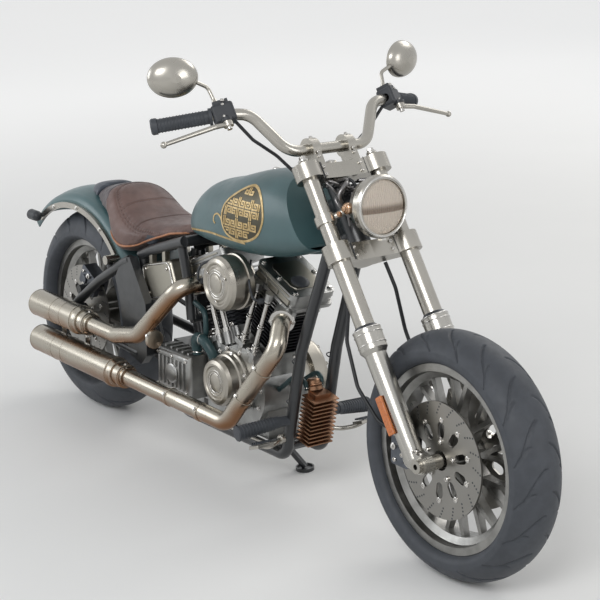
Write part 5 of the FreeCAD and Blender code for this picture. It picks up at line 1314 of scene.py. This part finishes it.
def left_side_details():
    """The primary cover's edge bolts and its two inspection lids."""
    bright, plate = Parts(), Parts()
    edge = []
    for (x, z), radius, start, end in ((PRIMARY_FRONT, 90, -80, 100), (PRIMARY_REAR, 72, 100, 260)):
        for i in range(6):
            angle = math.radians(start + (end - start) * i / 5)
            edge.append((x + radius * math.cos(angle), z + radius * math.sin(angle)))
    edge += [(754, 378), (754, 212)]
    socket_bolts(bright, from_side("primary_cover", edge, LEFT), 5.2)
    for (x, z), lid, sides, radius, count, rise in ((PRIMARY_FRONT, DERBY_LID, 64, 51.5, 5, 6.9),
                                                    (INSPECTION, SMALL_LID, 56, 33, 4, 5.9)):
        plate.turned((x, PRIMARY_FACE_Y, z), LEFTWARD, lid, sides)
        for screw_x, screw_z in round_points((x, z), radius, count, 0.3):
            bright.socket_bolt((screw_x, PRIMARY_FACE_Y + rise, screw_z), LEFTWARD, 4.4)
    bright.finish("primary_screws", "satin", "chassis")
    plate.finish("primary_lids", "chrome", "chassis")


FENDER_RAIL_R = 344.0
RAIL_BOLTS = (35, 60, 85, 110, 135)


def rear_details():
    """Bolts along the fender's rails, and lenses on the tail lamps."""
    bright, lens = Parts(), Parts()
    turns = [math.radians(degrees) for degrees in RAIL_BOLTS]
    rail = [(FENDER_RAIL_R * math.cos(a), REAR_TYRE_R + FENDER_RAIL_R * math.sin(a)) for a in turns]
    points = [v.co for v in upright_mesh("rear_lamps").vertices]
    for side in (RIGHT, LEFT):
        hex_bolts(bright, from_side("fender_rails", rail, side), 5.0)
        own = [p for p in points if p.y * side > 40]
        rear = min(p.x for p in own)
        near = [p for p in own if p.x < rear + 1.5]
        middle = sum(near, Vector()) / len(near)
        radius = max(6.0, max((p - middle).length for p in near) - 2.5)
        lens.turned(middle, (-1, 0, 0), [(-1, radius), (2, radius), (5, radius * 0.72), (6.4, 0)])
    bright.finish("rail_bolts", "chrome", "chassis")
    lens.finish("tail_lenses", "amber", "chassis")


PIPING_R, PIPING_RISE, PIPING_PROUD = 3.3, 10.0, 1.2
PIPING_X, PIPING_Z, PIPING_MIN_Y = range(196, 612, 16), range(560, 760, 3), 40
ABOVE_SEAT = 900.0
STITCH, STITCH_SIZE = 5.2, (3.3, 1.0, 1.0)
SEAM_SHIFT, CROSS_SHIFT = 4.2, 3.6


def side_of_seat(skin, x, z, side):
    """The seat's surface met from one side."""
    return skin.ray_cast(Vector((x, side * FAR, z)), Vector((0, -side, 0)))[0]


def seat_piping(skin):
    """The piping just above the saddle's lower edge, on both sides."""
    piping = Parts()
    for side in (RIGHT, LEFT):
        line = []
        for x in PIPING_X:
            edge = (side_of_seat(skin, x, low, side) for low in PIPING_Z)
            found = next((place for place in edge if place is not None and abs(place.y) > PIPING_MIN_Y), None)
            if found is not None:
                line.append(found)
        smooth = []
        for i, place in enumerate(line):
            near = line[max(0, i - 4):i + 5]
            over = side_of_seat(skin, place.x, sum(p.z for p in near) / len(near) + PIPING_RISE, side)
            if over is not None:
                smooth.append(over + LEFTWARD * side * PIPING_PROUD)
        piping.pipe(smooth, PIPING_R, 12, 4)
    piping.finish("seat_piping", "piping", "chassis")


def seam_lines():
    """The rows of stitches, seen from above: both sides of the border and of each cross seam."""
    border = insert_border()
    for shift in (-SEAM_SHIFT, SEAM_SHIFT):
        row = []
        for before, point, after in zip(border, border[1:], border[2:]):
            along = (after - before).normalized()
            row.append(point + Vector((-along.y, along.x, 0)) * shift)
        yield row
    for seam in CROSS_SEAMS:
        reach = between(INSERT, seam) - 8
        for shift in (-CROSS_SHIFT, CROSS_SHIFT):
            across = [reach * (k / 12 - 1) for k in range(25)]
            yield [Vector((seam + shift - SEAM_BOW * y * y, y, 0)) for y in across]


def seat_stitches(skin):
    """Short stitches laid flat on the seat along its seams."""
    thread = Parts()
    for row in seam_lines():
        walked = 0.0
        for one, two in zip(row, row[1:]):
            long = (two - one).length
            along = (two - one).normalized()
            while walked < long:
                at = one + along * walked
                place, normal, _, _ = skin.ray_cast(Vector((at.x, at.y, ABOVE_SEAT)), Vector((0, 0, -1)))
                if place is not None and abs(normal.z) > 0.3:
                    normal = normal if normal.z > 0 else -normal
                    flat = (along - normal * along.dot(normal)).normalized()
                    thread.brick(place + normal * 0.2, STITCH_SIZE, (flat, normal.cross(flat), normal))
                walked += STITCH
            walked -= long
    thread.finish("seat_stitches", "thread", "chassis")


def bevelled(obj, width):
    """Softens a piece's sharp edges by a width in millimetres."""
    modifier = obj.modifiers.new("edge", "BEVEL")
    modifier.width = width * MM
    modifier.segments = 2
    modifier.limit_method = "ANGLE"
    modifier.angle_limit = BEVEL_ANGLE
    modifier.harden_normals = False


def camera():
    """The photograph's viewpoint, leaned over with the machine so that the floor stays level."""
    level = math.cos(CAMERA_PITCH)
    back = Vector((math.sin(CAMERA_YAW) * level, -math.cos(CAMERA_YAW) * level, math.sin(CAMERA_PITCH)))
    right = (-back).cross(Vector((0, 0, 1))).normalized()
    up = right.cross(-back)
    across = right * math.cos(CAMERA_ROLL) + up * math.sin(CAMERA_ROLL)
    upward = up * math.cos(CAMERA_ROLL) - right * math.sin(CAMERA_ROLL)
    turn = Matrix((across, upward, back)).transposed().to_4x4()
    data = bpy.data.cameras.new("photo_camera")
    data.lens = CAMERA_LENS
    data.sensor_width = SENSOR
    data.clip_end = 100
    obj = added("photo_camera", data)
    obj.matrix_world = STANCE @ Matrix.Translation(Vector(CAMERA_AT) * MM) @ turn
    bpy.context.scene.camera = obj


def area_light(name, at, size, power, color):
    """A rectangular lamp turned to the middle of the machine, in the row frame in metres."""
    data = bpy.data.lights.new(name, "AREA")
    data.shape = "RECTANGLE"
    data.size, data.size_y = size
    data.energy = power
    data.color = color
    obj = added(name, data)
    obj.location = at
    obj.rotation_euler = (Vector((0, 0, 0.5)) - Vector(at)).to_track_quat("-Z", "Y").to_euler()


FLOOR_REACH = 40.0
LAMPS = (("key", (3.2, -4.2, 4.6), (3.0, 2.2), 165, (1, 1, 1)),
         ("fill", (-3.6, -3.4, 2.6), (3.0, 2.4), 72, (0.94, 0.97, 1.0)),
         ("back", (-1.0, 4.6, 3.8), (3.6, 2.0), 80, (1.0, 0.98, 0.95)),
         ("front", (5.2, 1.4, 2.0), (1.6, 2.4), 46, (1, 1, 1)))


def pale_floor():
    """A wide floor that glows faintly far away, so that it has no dark edge."""
    mesh = bpy.data.meshes.new("floor")
    corners = [(x * FLOOR_REACH, y * FLOOR_REACH, 0) for x, y in ((-1, -1), (1, -1), (1, 1), (-1, 1))]
    mesh.from_pydata(corners, [], [(0, 1, 2, 3)])
    floor = added("floor", mesh)
    look = Look("floor_paint", (0.80, 0.80, 0.79), 0.7)
    look.color(look.mix(look.noise(1.5, 3.0), (0.78, 0.78, 0.77), (0.82, 0.82, 0.81)))
    away = look.node("ShaderNodeVectorMath", operation="LENGTH")
    look.link(look.place, away.inputs[0])
    look.shader.inputs["Emission Color"].default_value = (0.92, 0.92, 0.92, 1)
    look.link(look.ramp(away.outputs["Value"], 2.2, 7.0, 0.0, 0.42), look.shader.inputs["Emission Strength"])
    mesh.materials.append(look.material)


def pale_surround():
    """A surround that is bright where it is seen, also in reflections, and dimmer as a lamp."""
    world = bpy.data.worlds.new("studio")
    bpy.context.scene.world = world
    world.use_nodes = True
    tree = world.node_tree
    background = tree.nodes["Background"]
    background.inputs["Color"].default_value = (0.90, 0.91, 0.92, 1)
    path = tree.nodes.new("ShaderNodeLightPath")
    seen = path.outputs["Is Camera Ray"]
    for kind in ("Is Transmission Ray", "Is Glossy Ray"):
        either = tree.nodes.new("ShaderNodeMath")
        either.operation = "MAXIMUM"
        tree.links.new(seen, either.inputs[0])
        tree.links.new(path.outputs[kind], either.inputs[1])
        seen = either.outputs[0]
    strength = tree.nodes.new("ShaderNodeMapRange")
    tree.links.new(seen, strength.inputs["Value"])
    strength.inputs["To Min"].default_value = 0.50
    strength.inputs["To Max"].default_value = 0.9
    tree.links.new(strength.outputs["Result"], background.inputs["Strength"])


BEVELS = {
    0.8: ("front_discs", "rear_disc_and_pulley"),
    1.0: ("oil_tank",),
    1.2: ("frame",),
    1.5: ("switch_housings", "front_calipers", "rear_caliper", "fork_lowers"),
    1.6: ("cylinder_heads",),
    2.0: ("crankcase", "transmission", "front_wheel", "rear_wheel"),
    3.0: ("upper_clamp", "lower_clamp", "bar_risers"),
}

camera()
pale_floor()
pale_surround()
for settings in LAMPS:
    area_light(*settings)
bpy.context.scene.view_settings.view_transform = "Standard"

tyre("front_tyre_tread", "front_tyre", "front_wheel_set", FRONT_AXLE, FRONT_TYRE, FRONT_SETS)
tyre("rear_tyre_tread", "rear_tyre", "rear_wheel_set", REAR_AXLE, REAR_TYRE, REAR_SETS)

seat_skin = seat_cushion()
seat_piping(seat_skin)
seat_stitches(seat_skin)
pillion_pad()
tank_panels()
ribbed_lens()
headlamp_details()
wiring()
fork_details()
grip_details()
engine_details()
engine_hoses()
exhaust_details()
wheel_details("front", FRONT_AXLE, "front_discs", (RIGHT, LEFT))
wheel_details("rear", REAR_AXLE, "rear_disc_and_pulley", (RIGHT,))
caliper_details("front_calipers", "steering", FRONT_AXLE, FRONT_CALIPER_TURN, (RIGHT, LEFT))
caliper_details("rear_caliper", "chassis", REAR_AXLE, REAR_CALIPER_TURN, (RIGHT,))
foot_details()
side_plates()
left_side_details()
rear_details()

for edge_width, plain_nodes in BEVELS.items():
    for plain_node in plain_nodes:
        bevelled(NODES[plain_node], edge_width)

bpy.context.view_layer.update()
